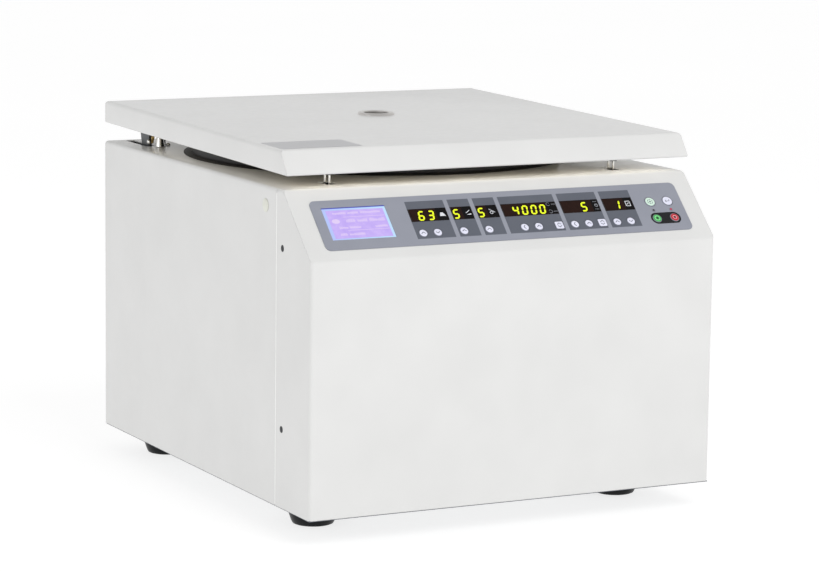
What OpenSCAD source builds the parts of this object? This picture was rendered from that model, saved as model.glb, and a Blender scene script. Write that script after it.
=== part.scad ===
// Bench centrifuge for butterfat tests: a sheet metal cabinet with a sloped console,
// a gooseneck-hinged lid, a steel chamber and a swing-out rotor with four buckets.
// Millimetres, +Z up. The origin is on the table, below the centre of the cabinet.
// The front faces -Y. Sizes named _y below are measured back from the front face.

/* [Cabinet] */
// Width of the cabinet and the lid
body_w = 470; // [440:1:520]
// Depth of the cabinet
body_d = 545; // [540:1:620]
// Height of the sheet metal cabinet, without the feet
body_h = 325.7; // [320:0.1:380]
// Thickness of the cabinet sheet
sheet = 1.5; // [1:0.1:2.5]
// Outer radius of the sheet bends
bend_r = 4; // [3:0.5:6]
// Depth of the front cover, up to the seam with the housing
cover_d = 81; // [78:1:92]
// Width of the seam between the front cover and the housing
seam = 0.8; // [0.4:0.1:2]
// Play between pieces of sheet that fit inside each other
sheet_play = 0.3; // [0.2:0.05:0.6]
// Height of the two rows of side screws above the bottom edge
screw_low_z = 81.5; // [60:0.5:120]
// Height of the upper side screws
screw_high_z = 266.8; // [200:0.1:275]
// Distance of the side screws from the front face
screw_y = 67; // [62:0.5:72]

/* [Console] */
// Horizontal depth of the console slope
slope_run = 67.2; // [60:0.1:74]
// Height of the console slope
slope_rise = 65.2; // [60:0.1:80]
// Left end of the console panel, along the slope's width
panel_u = 22; // [10:0.5:24]
// Width of the console panel
panel_w = 428; // [424:0.5:432]
// Lower edge of the console panel, up the slope from the fold
panel_v = 14; // [12:0.5:15]
// Height of the console panel along the slope
panel_l = 63; // [61:0.5:66]
// Corner radius of the console panel
panel_r = 6; // [2:0.5:10]
// Thickness of the panel's rim that lies on the slope
panel_t = 0.8; // [0.5:0.1:1.6]
// Depth of the panel's body below the slope
panel_depth = 4; // [3:0.5:6]
// Width of the rim that lies on the sheet
panel_rim = 5; // [3:0.5:6]
// Left end of the display window
lcd_u = 33; // [31:0.5:34]
// Width of the display window
lcd_w = 71; // [60:0.5:74]
// Lower edge of the display window
lcd_v = 26.5; // [22:0.5:28]
// Height of the display window
lcd_l = 41; // [36:0.5:42]
// Left end of the first digit group
group_u = 127.5; // [120:0.5:130]
// Space between the digit groups
group_gap = 4.7; // [3:0.1:4.9]
// Lower edge of the dark digit windows
band_v = 44.3; // [42:0.1:46]
// Height of the dark digit windows
band_l = 15.8; // [12:0.1:17]
// Height of the key row up the slope
key_v = 29; // [27:0.5:30]
// Radius of the round keys
key_r = 4.8; // [3.5:0.1:5.2]
// Pitch of a pair of keys
key_pitch = 16.6; // [15:0.1:17]
// Radius of the four larger keys at the right
big_key_r = 6; // [4.5:0.1:6.3]
// How far a key stands above the panel
key_proud = 1.2; // [0.9:0.1:2]
// Travel of a key
key_travel = 0.8; // [0.4:0.1:1]
// Play round a key
key_play = 0.3; // [0.2:0.05:0.5]

/* [Feet] */
// Height of the rubber feet
foot_h = 28; // [20:1:34]
// Radius of a foot at the cabinet
foot_top_r = 26; // [24:0.5:30]
// Radius of a foot at the table
foot_r = 20.5; // [16:0.5:22]
// Distance of the feet from the cabinet's sides
foot_x = 54; // [40:1:70]
// Distance of the front feet from the front face
foot_front_y = 104; // [60:1:110]
// Distance of the rear feet from the back
foot_back = 52; // [45:1:90]

/* [Lid] */
// Thickness of the lid
lid_t = 24.6; // [20:0.1:32]
// Space between the deck and the lid at the back
lid_gap = 20.8; // [18:0.1:26]
// Slope of the closed lid towards the front, in degrees
lid_tilt = 0.7; // [0:0.1:1]
// Distance of the lid's lower front edge from the front face
lid_front_y = 56; // [50:1:62]
// How far the lid's front face leans back
lid_lean = 18; // [6:1:26]
// Width of the lid's inward lip
lid_lip = 12; // [6:1:16]
// Thickness of the plate that closes the lid below
liner_t = 1.2; // [0.8:0.1:2]
// Outer radius of the sight port ring
port_r = 20.5; // [19:0.5:26]
// Radius of the sight port's hole
port_hole_r = 14; // [10:0.5:15]
// Height of the sight port ring above the lid
port_proud = 2.2; // [1:0.1:4]
// Width of the blank plate on the lid
label_w = 90; // [60:1:110]
// Depth of the blank plate on the lid
label_d = 53; // [40:1:60]

/* [Hinge] */
// Distance of the hinge pins from the back
hinge_back = 15; // [14:0.5:18]
// Depth of the hinge pins below the deck
hinge_drop = 33.7; // [32:0.1:40]
// Radius of the hinge pins
pin_r = 5; // [3:0.5:6]
// Running play of shafts in their bores
run_play = 0.05; // [0.02:0.01:0.1]
// Distance of the lid arms from the cabinet's sides
arm_x = 25; // [25:0.5:28]
// Thickness of the lid arms
arm_t = 4; // [3:0.5:5]
// Width of the lid arms
arm_w = 19; // [16:0.5:20]
// How far the arms reach forward of the pins
arm_reach = 52; // [48:1:56]
// Play of the arms in the deck slots
slot_play = 3.2; // [3:0.1:4]

/* [Chamber] */
// Room between the chamber's rim and the back
rear_room = 11.5; // [9:0.5:14]
// Inner radius of the chamber
chamber_r = 192; // [186:0.5:194]
// Depth of the chamber below the deck
chamber_depth = 175.7; // [168:0.1:180]
// Thickness of the chamber's steel
bowl_t = 1.2; // [0.8:0.1:1.5]
// Width of the chamber's rim, which carries the rubber seal
rim_w = 11.5; // [10:0.5:12.5]
// Thickness of the guard ring
guard_t = 6; // [4:0.5:6]
// Distance of the chassis frame's walls from the cabinet's sides
frame_side = 29.5; // [27:0.5:31]
// Distance of the chassis frame from the back
frame_back = 7.5; // [5:0.5:12]

/* [Rotor] */
// Height of the bucket pivots above the chamber's floor
pivot_h = 112; // [108:1:118]
// Distance of the bucket pivots from the rotor's axis
pivot_r = 88; // [86:0.5:90]
// Length of a bucket below its pivot
bucket_l = 84; // [70:1:86]
// Outer radius of a bucket
bucket_r = 24; // [20:0.5:25]
// Thickness of a bucket's wall
bucket_t = 2; // [1.5:0.1:3]
// Radius of the rotor head
head_r = 112; // [106:1:114]
// Thickness of the rotor head
head_t = 26; // [22:1:30]
// Radius of the bucket pivots' pins
trunnion_r = 4; // [3:0.5:5]
// Radius of the spindle
spindle_r = 8; // [6:0.5:9]
// Radius of the motor
motor_r = 62; // [50:1:70]
// Room between the motor and the chamber's floor, which the boot spans
boot_room = 22.5; // [20:0.5:40]

/* [Lock] */
// Distance of the strikers from the middle of the cabinet
striker_x = 168; // [160:1:176]
// Distance of the strikers from the front face
striker_y = 104; // [102:0.5:106]
// Depth of the lock bolts below the deck
bolt_drop = 12; // [11:0.5:14]
// Radius of the lock bolts
bolt_r = 3.5; // [2.5:0.1:4]
// Travel of the lock bar
lock_travel = 12; // [10:0.5:14]
// Distance of the release plug from the front face
plug_y = 107.6; // [100:0.1:116]
// Depth of the release plug below the deck
plug_drop = 19.9; // [16:0.1:26]
// Radius of the release plug's head
plug_r = 6.8; // [5:0.1:8]

/* [Rear] */
// Distance of the power inlet from the right side
inlet_side = 85; // [65:1:115]
// Height of the inlet and the switch above the bottom edge
inlet_z = 58; // [40:1:80]
// Distance of the power switch from the right side
switch_side = 143; // [131:1:175]
// Number of vent slots in a column
vent_count = 9; // [4:1:10]
// Pitch of the vent slots
vent_pitch = 14; // [11:1:14]

/* [Hidden] */
key_names = [
    "rotor_down_key", "rotor_up_key", "accel_key", "decel_key",
    "speed_down_key", "speed_up_key", "speed_mode_key",
    "time_down_key", "time_up_key", "time_mode_key",
    "program_down_key", "program_up_key",
    "menu_key", "set_key", "start_key", "stop_key"
];

// Clearance between a seat and a piece that moves or is soft
seat_gap = 0.3;
eps = 0.01;
y_front = -body_d / 2;
y_back = body_d / 2;
z_bottom = foot_h;
z_deck = foot_h + body_h;
z_under = z_deck - sheet;
z_fold = body_h - slope_rise;
in_x = body_w / 2 - sheet;

slope_a = atan2(slope_rise, slope_run);

lid_l = (body_d - lid_front_y) / cos(lid_tilt);
lid_z = z_deck + lid_gap;
hinge_y = body_d - hinge_back;
hinge_z = z_deck - hinge_drop;

seal_r = chamber_r + rim_w;
axis_y = body_d - rear_room - seal_r;
axis = [0, y_front + axis_y, 0];
floor_z = z_deck - chamber_depth;
bridge_t = 2.5;
bridge_z = floor_z - bowl_t - seat_gap;
guard_in_r = seal_r - guard_t - 1;
pivot_z = floor_z + pivot_h;
head_z = pivot_z - head_t / 2;

steel = "#b9bcc0";
paint = "#e6e6e2";
grey_steel = "#6b6e72";
black = "#1d1e20";

// Rounds corner b of the outline a, b, c with an arc of radius r in n steps
function fillet(a, b, c, r, n) =
    let (
        u = (a - b) / norm(a - b),
        w = (c - b) / norm(c - b),
        half = acos(u * w) / 2,
        centre = b + (u + w) / norm(u + w) * r / sin(half),
        s = b + u * r / tan(half) - centre,
        e = b + w * r / tan(half) - centre,
        start = atan2(s[1], s[0]),
        sweep = atan2(s[0] * e[1] - s[1] * e[0], s * e)
    )
    [for (i = [0:n]) centre + r * [cos(start + sweep * i / n), sin(start + sweep * i / n)]];

// Outline with each corner rounded by the radius of the same place in radii
function rounded(points, radii, n = 5) = [
    for (i = [0:len(points) - 1])
        let (last = len(points) - 1)
        each radii[i] > 0
            ? fillet(points[i == 0 ? last : i - 1], points[i], points[i == last ? 0 : i + 1], radii[i], n)
            : [points[i]]
];

// Rectangle outline with four equal corner radii
function slab(x0, y0, w, h, r) = rounded([[x0, y0], [x0 + w, y0], [x0 + w, y0 + h], [x0, y0 + h]], [r, r, r, r]);

// Extrudes an outline drawn in Y and Z by w, centred on X
module along_x(w) {
    rotate([90, 0, 90])
        translate([0, 0, -w / 2])
            linear_extrude(w)
                children();
}

// Extrudes an outline drawn in X and Z from y = from to y = to
module along_y(from, to) {
    translate([0, to, 0])
        rotate([90, 0, 0])
            linear_extrude(to - from)
                children();
}

// Frame of the console: x along its width, y up the slope, z out of it
module on_slope() {
    translate([-body_w / 2, y_front, z_bottom + z_fold])
        rotate([slope_a, 0, 0])
            children();
}

// Frame of the closed lid: origin at its lower rear edge, y negative to the front
module on_lid() {
    translate([0, y_back, lid_z])
        rotate([lid_tilt, 0, 0])
            children();
}

// Height of the lid's lower plane, raised by rise, at a distance back from the front face
function lid_under(y, rise = 0) = lid_z - (body_d - y) * tan(lid_tilt) + rise / cos(lid_tilt);

module both_sides() {
    children();
    mirror([1, 0, 0]) children();
}

// Base tray with its edges folded up
tray_w = body_w - 2 * sheet - 2 * sheet_play;
tray_y = y_front + sheet + sheet_play;
tray_d = body_d - 2 * sheet - 2 * sheet_play;
tray_edge = 18;
foot_bolt_r = 4;

module at_feet() {
    both_sides() {
        translate([body_w / 2 - foot_x, y_front + foot_front_y, 0]) children();
        translate([body_w / 2 - foot_x, y_back - foot_back, 0]) children();
    }
}

module base_plate() {
    color("#a9acae")
    difference() {
        translate([-tray_w / 2, tray_y, z_bottom]) cube([tray_w, tray_d, tray_edge]);
        translate([-tray_w / 2 + sheet, tray_y + sheet, z_bottom + sheet])
            cube([tray_w - 2 * sheet, tray_d - 2 * sheet, tray_edge]);
        at_feet()
            translate([0, 0, z_bottom - 1]) cylinder(r = foot_bolt_r, h = sheet + 2, $fn = 32);
        for (i = [-4:4])
            translate([i * 16 - 4, axis[1] - 40, z_bottom - 1]) cube([8, 80, sheet + 2]);
    }
}

// Moulded foot with a recess for its bolt
foot_flange = 6;
foot_recess_r = 9;
foot_recess_h = 12;

module feet() {
    color(black)
    at_feet()
        rotate_extrude($fn = 48)
            polygon(rounded([
                [foot_recess_r, 0], [foot_r, 0], [foot_top_r - 2, foot_h - foot_flange],
                [foot_top_r, foot_h - foot_flange + 1], [foot_top_r, foot_h],
                [foot_bolt_r + 0.2, foot_h], [foot_bolt_r + 0.2, foot_recess_h],
                [foot_recess_r, foot_recess_h]
            ], [0, 2.5, 0, 0.5, 0, 0, 0, 0]));
}

// Countersunk screw: origin at the centre of its flush face, shank towards -Z
module flush_screw(head_r, shank_r, shank_l) {
    head_h = head_r - shank_r;
    translate([0, 0, -head_h]) cylinder(r1 = shank_r, r2 = head_r, h = head_h, $fn = 32);
    translate([0, 0, -shank_l]) cylinder(r = shank_r, h = shank_l - head_h + eps, $fn = 32);
}

side_head_r = 3.6;
side_shank_r = 2.2;

// Places a screw in each side of the front cover
module at_side_screws() {
    both_sides()
        for (z = [screw_low_z, screw_high_z])
            translate([body_w / 2, y_front + screw_y, z_bottom + z]) rotate([0, 90, 0]) children();
}

rear_screw_x = in_x - 8;

// Places the screws of the rear panel
module at_rear_screws() {
    both_sides()
        for (z = [26, body_h / 2, body_h - 40])
            translate([rear_screw_x, y_back, z_bottom + z]) rotate([-90, 0, 0]) children();
}

module screws() {
    color("#55575a") {
        at_side_screws() flush_screw(side_head_r, side_shank_r, 2 * sheet + 6);
        at_rear_screws() flush_screw(side_head_r, side_shank_r, 2 * sheet + 6);
        at_feet() {
            translate([0, 0, foot_recess_h - 5]) cylinder(r = foot_recess_r - 2, h = 5, $fn = 32);
            translate([0, 0, foot_recess_h]) cylinder(r = foot_bolt_r, h = foot_h - foot_recess_h + 8, $fn = 32);
            translate([0, 0, z_bottom + sheet]) cylinder(r = 7, h = 5, $fn = 6);
        }
    }
}

// Side outline of the cabinet as far back as depth d, in front-face coordinates
function cabinet_outline(d) = rounded(
    [[0, 0], [0, z_fold], [slope_run, body_h], [d, body_h], [d, 0]],
    [0, bend_r + 2, bend_r + 2, 0, 0]);

// The same outline inside the sheet, open at the back and below
function cavity_outline(d) =
    let (rise = sheet * (1 / cos(slope_a) - tan(slope_a)), shift = sheet * (1 / cos(slope_a) - 1) / tan(slope_a))
    rounded(
        [[sheet, -1], [sheet, z_fold - rise], [slope_run + shift, body_h - sheet], [d + 1, body_h - sheet], [d + 1, -1]],
        [0, bend_r + 0.5, bend_r + 0.5, 0, 0]);

// Front outline of the cabinet, inset by t, with rounded upper corners
function front_outline(t, low) = rounded(
    [[-body_w / 2 + t, low], [body_w / 2 - t, low], [body_w / 2 - t, body_h - t], [-body_w / 2 + t, body_h - t]],
    [0, 0, bend_r - t, bend_r - t]);

aperture_u = panel_u + panel_rim;
aperture_v = panel_v + panel_rim;
aperture_w = panel_w - 2 * panel_rim;
aperture_l = panel_l - 2 * panel_rim;

module front_cover() {
    color(paint)
    difference() {
        intersection() {
            translate([0, y_front, z_bottom])
                along_x(body_w) polygon(cabinet_outline(cover_d));
            translate([0, 0, z_bottom])
                along_y(y_front, y_front + cover_d) polygon(front_outline(0, 0));
            translate([0, 0, z_bottom])
                linear_extrude(body_h)
                    polygon(rounded([
                        [-body_w / 2, y_front], [body_w / 2, y_front],
                        [body_w / 2, y_front + cover_d], [-body_w / 2, y_front + cover_d]
                    ], [bend_r, bend_r, 0, 0]));
        }
        translate([0, y_front, z_bottom])
            along_x(body_w - 2 * sheet) polygon(cavity_outline(cover_d));
        on_slope()
            translate([0, 0, -10])
                linear_extrude(20)
                    polygon(slab(aperture_u, aperture_v, aperture_w, aperture_l, 3));
        at_side_screws() flush_screw(side_head_r, side_shank_r, 12);
    }
}

slot_x = body_w / 2 - arm_x - arm_t / 2;
slot_w = arm_t + 2 * slot_play;
striker_t = 4;
striker_w = 16;
tongue_hole_x = striker_t + 8;
tongue_hole_y = striker_w + 8;
plug_shank_r = plug_r - 1.1;
housing_y = y_front + cover_d + seam;
tab_reach = 24;

module housing() {
    color(paint)
    difference() {
        union() {
            difference() {
                translate([0, 0, z_bottom])
                    along_y(housing_y, y_back) polygon(front_outline(0, 0));
                translate([0, 0, z_bottom])
                    along_y(housing_y - 1, y_back + 1) polygon(front_outline(sheet, -1));
            }
            both_sides()
                for (z = [screw_low_z, screw_high_z])
                    translate([in_x - 2 * sheet, y_front + cover_d - tab_reach, z_bottom + z - 14])
                        difference() {
                            cube([2 * sheet, tab_reach + seam + 14, 28]);
                            translate([sheet - sheet_play, -1, -1]) cube([2 * sheet, tab_reach + seam + 1, 30]);
                        }
        }
        translate([0, axis[1], z_deck - 10]) cylinder(r = chamber_r + bowl_t + sheet_play, h = 20, $fn = 96);
        both_sides() {
            translate([slot_x - slot_w / 2, y_front + hinge_y - arm_reach - slot_play, z_deck - 4])
                cube([slot_w, arm_reach + slot_play + 7, 8]);
            translate([striker_x - tongue_hole_x / 2, y_front + striker_y - tongue_hole_y / 2, z_deck - 4])
                cube([tongue_hole_x, tongue_hole_y, 8]);
        }
        translate([-body_w / 2 - 1, y_front + plug_y, z_deck - plug_drop])
            rotate([0, 90, 0]) cylinder(r = plug_shank_r + sheet_play, h = 8, $fn = 48);
        at_side_screws()
            translate([0, 0, -sheet * 5]) cylinder(r = side_shank_r, h = sheet * 6, $fn = 32);
    }
}

// Rear panel with folded sides, vents and the cut-outs of the inlet and the switch
rear_flange = 16;
inlet_x = body_w / 2 - inlet_side;
inlet_w = 27;
inlet_h = 47;
switch_x = body_w / 2 - switch_side;
switch_w = 15;
switch_h = 22;
vent_w = 70;
vent_h = 4.5;

module rear_panel() {
    half = in_x - sheet_play;
    top = z_under - sheet_play;
    flange_low = z_bottom + tray_edge + 4;
    color(paint)
    difference() {
        union() {
            along_y(y_back - sheet, y_back)
                polygon(rounded(
                    [[-half, z_bottom], [half, z_bottom], [half, top], [-half, top]], [0, 0, bend_r, bend_r]));
            both_sides()
                translate([half - sheet, y_back - rear_flange, flange_low])
                    cube([sheet, rear_flange, top - bend_r - flange_low]);
        }
        translate([inlet_x - inlet_w / 2, y_back - 5, z_bottom + inlet_z - inlet_h / 2])
            cube([inlet_w, 10, inlet_h]);
        translate([switch_x - switch_w / 2, y_back - 5, z_bottom + inlet_z - switch_h / 2])
            cube([switch_w, 10, switch_h]);
        for (column = [-1, 0, 1], i = [0:vent_count - 1])
            translate([column * (vent_w + 20), y_back - 5, z_bottom + 150 + i * vent_pitch])
                rotate([-90, 0, 0])
                    linear_extrude(10)
                        polygon(slab(-vent_w / 2, -vent_h / 2, vent_w, vent_h, vent_h / 2 - 0.1));
        at_rear_screws() flush_screw(side_head_r, side_shank_r, 12);
    }
}

// Inverted channel that carries the chamber and the guard ring
frame_x = body_w / 2 - frame_side;
frame_y = axis_y - seal_r - 4;
frame_d = body_d - frame_back - frame_y;
frame_flange = 15;

module chassis_frame() {
    low = z_bottom + sheet;
    color("#9a9da0")
    difference() {
        union() {
            difference() {
                translate([-frame_x - bridge_t, y_front + frame_y, low])
                    cube([2 * frame_x + 2 * bridge_t, frame_d, bridge_z - low]);
                translate([-frame_x, y_front + frame_y - 1, low - 1])
                    cube([2 * frame_x, frame_d + 2, bridge_z - low - bridge_t + 1]);
            }
            both_sides()
                translate([frame_x - frame_flange, y_front + frame_y, low])
                    cube([frame_flange + eps, frame_d, bridge_t]);
        }
        translate([0, axis[1], bridge_z - 10]) cylinder(r = motor_r + 12, h = 20, $fn = 64);
    }
}

module guard_ring() {
    color("#8c8f93")
    translate([0, axis[1], bridge_z])
        difference() {
            cylinder(r = guard_in_r + guard_t, h = z_under - seat_gap - bridge_z, $fn = 96);
            translate([0, 0, -1]) cylinder(r = guard_in_r, h = body_h, $fn = 96);
        }
}

// Steel chamber: wall, rounded corner, floor and a raised collar for the spindle
cone_r = 70;
cone_h = 14;
collar_r = 26;
corner_r = 18;

module chamber_bowl() {
    inner = rounded([
        [chamber_r, z_deck + 2 * bowl_t], [chamber_r, floor_z], [cone_r, floor_z], [collar_r, floor_z + cone_h]
    ], [0, corner_r, 8, 0]);
    outer = rounded([
        [collar_r, floor_z + cone_h - bowl_t], [cone_r, floor_z - bowl_t],
        [chamber_r + bowl_t, floor_z - bowl_t], [chamber_r + bowl_t, z_deck],
        [seal_r, z_deck], [seal_r, z_deck + bowl_t], [chamber_r + bowl_t, z_deck + bowl_t],
        [chamber_r + bowl_t, z_deck + 2 * bowl_t]
    ], [0, 8, corner_r + bowl_t, 0, 0, 0, 0, 0]);
    color("#c9ccce")
    translate([0, axis[1], 0])
        rotate_extrude($fn = 96)
            polygon(concat(inner, outer));
}

// Rubber seal on the chamber's rim, its top parallel to the closed lid
seal_top = lid_gap + 6;

module chamber_seal() {
    base = z_deck + bowl_t;
    foot_in = chamber_r + bowl_t + 0.4;
    color(black)
    difference() {
        translate([0, axis[1], base])
            rotate_extrude($fn = 96)
                polygon(rounded([
                    [foot_in, 0], [seal_r, 0], [seal_r - 0.5, 7], [seal_r - 5, seal_top],
                    [seal_r - 10, seal_top], [seal_r - 8, 7], [foot_in, 5]
                ], [0, 1, 3, 0, 0, 3, 0]));
        on_lid()
            translate([-body_w, -lid_l - 100, sheet - seat_gap]) cube([2 * body_w, lid_l + 200, 80]);
    }
}

motor_foot_h = 18;
motor_plate_t = 4;
motor_plate_w = 176;
motor_z = z_bottom + sheet + motor_foot_h + motor_plate_t;
damper_r = 12;
boss_h = 10;
motor_h = floor_z - boot_room - boss_h - motor_z;
spindle_low = motor_z + 40;

module motor() {
    color("#7d8286")
    translate([0, axis[1], 0])
        difference() {
            union() {
                translate([0, 0, motor_z - motor_plate_t])
                    linear_extrude(motor_plate_t)
                        polygon(slab(-motor_plate_w / 2, -motor_plate_w / 2, motor_plate_w, motor_plate_w, 14));
                translate([0, 0, motor_z]) cylinder(r = motor_r, h = 14, $fn = 64);
                translate([0, 0, motor_z + 14]) cylinder(r = motor_r - 3, h = motor_h - 28, $fn = 64);
                translate([0, 0, motor_z + motor_h - 14]) cylinder(r = motor_r, h = 14, $fn = 64);
                translate([0, 0, motor_z + motor_h]) cylinder(r = 20, h = boss_h, $fn = 48);
                for (a = [0:20:340])
                    rotate([0, 0, a])
                        translate([motor_r - 6, -1.5, motor_z + 12]) cube([6, 3, motor_h - 24]);
            }
            translate([0, 0, spindle_low - seat_gap]) cylinder(r = spindle_r + run_play, h = 200, $fn = 48);
        }
}

module motor_dampers() {
    color(black)
    for (x = [-1, 1], y = [-1, 1])
        translate([x * (motor_plate_w / 2 - 18), axis[1] + y * (motor_plate_w / 2 - 18), z_bottom + sheet])
            rotate_extrude($fn = 32)
                polygon([
                    [0, 0], [damper_r, 0], [damper_r, 4], [damper_r - 3, 6],
                    [damper_r - 3, motor_foot_h - 6], [damper_r, motor_foot_h - 4],
                    [damper_r, motor_foot_h], [0, motor_foot_h]
                ]);
}

// Rubber bellows between the motor and the chamber's collar
module spindle_boot() {
    low = motor_z + motor_h + boss_h;
    top = floor_z + cone_h;
    bore = spindle_r + 4;
    color(black)
    translate([0, axis[1], 0])
        rotate_extrude($fn = 48)
            polygon([
                [bore, low], [19, low], [19, low + 4], [bore + 4, low + 7], [bore + 8, low + 11],
                [bore + 4, low + 15], [collar_r - seat_gap, top - 6], [collar_r - seat_gap, top + seat_gap],
                [collar_r + 3, top + seat_gap], [collar_r + 3, top + 2.3], [bore + 4, top + 2.3],
                [bore + 4, top - 4], [bore, low + 15], [bore + 4, low + 11], [bore, low + 7]
            ]);
}

// Hinge brackets: an inner and an outer angle under the deck on each side
bracket_t = 3;
bracket_in = 30;
bracket_out = 9;
bracket_in_x = slot_x - bracket_in;
bracket_out_x = slot_x + bracket_out;
bracket_eye = pin_r + 6;
bracket_front = 15;
bracket_y = hinge_y - bracket_front;
bracket_foot_in = 14;
bracket_foot_out = 9;

module bracket_plate(x) {
    translate([x + bracket_t / 2, y_front, 0])
        along_x(bracket_t)
            polygon(rounded([
                [bracket_y, z_under], [bracket_y, hinge_z - 2], [hinge_y - bracket_eye, hinge_z - bracket_eye],
                [hinge_y + bracket_eye, hinge_z - bracket_eye], [hinge_y + bracket_eye, z_under]
            ], [0, 6, 4, 4, 0]));
}

module hinge_brackets() {
    flange_d = hinge_y + bracket_eye - bracket_y;
    color(grey_steel)
    both_sides()
        difference() {
            union() {
                bracket_plate(bracket_in_x);
                translate([bracket_in_x - bracket_foot_in, y_front + bracket_y, z_under - bracket_t])
                    cube([bracket_foot_in + eps, flange_d, bracket_t]);
                bracket_plate(bracket_out_x);
                translate([bracket_out_x + bracket_t - eps, y_front + bracket_y, z_under - bracket_t])
                    cube([bracket_foot_out, flange_d, bracket_t]);
            }
            translate([bracket_in_x - 1, y_front + hinge_y, hinge_z])
                rotate([0, 90, 0]) cylinder(r = pin_r, h = bracket_in + bracket_out + 20, $fn = 32);
        }
}

pin_head_r = pin_r + 2;
pin_head_t = 2;

module hinge_pins() {
    length = bracket_out_x + bracket_t - bracket_in_x;
    color(steel)
    both_sides()
        translate([bracket_in_x, y_front + hinge_y, hinge_z])
            rotate([0, 90, 0]) {
                cylinder(r = pin_r, h = length, $fn = 32);
                translate([0, 0, -pin_head_t]) cylinder(r = pin_head_r, h = pin_head_t, $fn = 32);
                translate([0, 0, length]) cylinder(r = pin_head_r, h = pin_head_t, $fn = 32);
            }
}

spring_gap = 0.5;
arm_boss = 3;

// Torsion springs that carry most of the lid's weight, close-wound on the pins
module hinge_springs() {
    from = bracket_in_x + bracket_t + spring_gap;
    to = slot_x - arm_t / 2 - arm_boss - spring_gap;
    color("#4c4f52")
    both_sides()
        translate([from, y_front + hinge_y, hinge_z])
            rotate([0, 90, 0])
                difference() {
                    cylinder(r = pin_r + 3.2, h = to - from, $fn = 32);
                    translate([0, 0, -1]) cylinder(r = pin_r + 0.4, h = 60, $fn = 32);
                }
}

// Gooseneck arms: an eye on the pin, a reach forward below the deck, a neck up to the lid
arm_flange_t = 4;
arm_flange_w = 26;

module lid_arms() {
    front = hinge_y - arm_reach;
    back = front + arm_w;
    half = arm_w / 2;
    top = sheet - arm_flange_t;
    color(grey_steel)
    both_sides()
        difference() {
            union() {
                translate([slot_x, y_front, 0])
                    along_x(arm_t)
                        polygon(rounded([
                            [front - 3, lid_under(front - 3, top)], [front, z_deck],
                            [front, hinge_z - half], [hinge_y + half, hinge_z - half],
                            [hinge_y + half, hinge_z + half], [back, hinge_z + half],
                            [back, z_deck], [back + 5, lid_under(back + 5, top)]
                        ], [0, 20, 14, 9, 9, 8, 12, 0]));
                translate([slot_x - arm_t / 2 - arm_boss, y_front + hinge_y, hinge_z])
                    rotate([0, 90, 0]) cylinder(r = pin_r + 4, h = arm_t + 2 * arm_boss, $fn = 32);
                on_lid()
                    translate([slot_x - arm_flange_w + arm_t / 2, front - 6 - body_d, top])
                        cube([arm_flange_w, arm_w + 14, arm_flange_t]);
            }
            translate([slot_x - 20, y_front + hinge_y, hinge_z])
                rotate([0, 90, 0]) cylinder(r = pin_r + run_play, h = 40, $fn = 32);
        }
}

// Chromed studs that the closed lid rests on, with their lock nuts
stud_r = 3.5;
stud_in = 7;
stud_ahead = 12;
stud_nut_r = 6;
stud_nut_h = 4;
stud_x = slot_x - stud_in;
stud_y = hinge_y - arm_reach - stud_ahead;

module rest_studs() {
    length = lid_under(stud_y, sheet) - z_deck - seat_gap - 0.1;
    color("#d5d3cc")
    both_sides()
        on_lid()
            translate([stud_x, stud_y - body_d, sheet - length]) {
                cylinder(r = stud_r, h = length, $fn = 32);
                translate([0, 0, length - stud_nut_h]) cylinder(r = stud_nut_r, h = stud_nut_h, $fn = 6);
            }
}

// Strikers: tongues under the lid with an eye for the lock bolt
eye_play = 2.5;
eye_wall = 4;
striker_eye_r = bolt_r + eye_play;

module latch_strikers() {
    eye_z = z_deck - bolt_drop;
    low = eye_z - striker_eye_r - eye_wall;
    color("#c8c7c2")
    both_sides()
        difference() {
            union() {
                translate([striker_x, y_front, 0])
                    along_x(striker_t)
                        polygon(rounded([
                            [striker_y - striker_w / 2, lid_under(striker_y - striker_w / 2, 0)],
                            [striker_y - striker_w / 2, low], [striker_y + striker_w / 2, low],
                            [striker_y + striker_w / 2, lid_under(striker_y + striker_w / 2, 0)]
                        ], [0, 5, 5, 0]));
                on_lid()
                    translate([striker_x - 12, striker_y - body_d - striker_w / 2, -1.5])
                        cube([24, striker_w, sheet + 1.5]);
            }
            translate([striker_x - 10, y_front + striker_y, eye_z])
                rotate([0, 90, 0]) cylinder(r = striker_eye_r, h = 20, $fn = 32);
        }
}

// Sliding bar with two bolts, drawn in the unlocked position
bar_t = 3;
bar_h = 10;
bar_y = striker_y + striker_w / 2 + 5;
lug_t = 4;
bolt_gap = 1.5;
bolt_l = lock_travel - bolt_gap + 2;

module lock_bar() {
    bolt_z = z_deck - bolt_drop;
    color(steel)
    translate([0, y_front, 0]) {
        translate([-striker_x - striker_t / 2 - bolt_gap - bolt_l - lug_t, bar_y, bolt_z - bar_h / 2])
            cube([2 * striker_x, bar_t, bar_h]);
        for (side = [-1, 1])
            translate([side * striker_x - striker_t / 2 - bolt_gap, striker_y, bolt_z]) {
                translate([-bolt_l - eps, 0, 0])
                    rotate([0, 90, 0]) cylinder(r = bolt_r, h = bolt_l + eps, $fn = 32);
                translate([-bolt_l - lug_t, -bar_h / 2, -bar_h / 2])
                    cube([lug_t, bar_y - striker_y + bar_h / 2 + bar_t, bar_h]);
            }
    }
}

// Slotted blocks under the deck that guide the bar
guide_x = striker_x - 40;
guide_w = 18;
guide_wall = 5;

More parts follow.
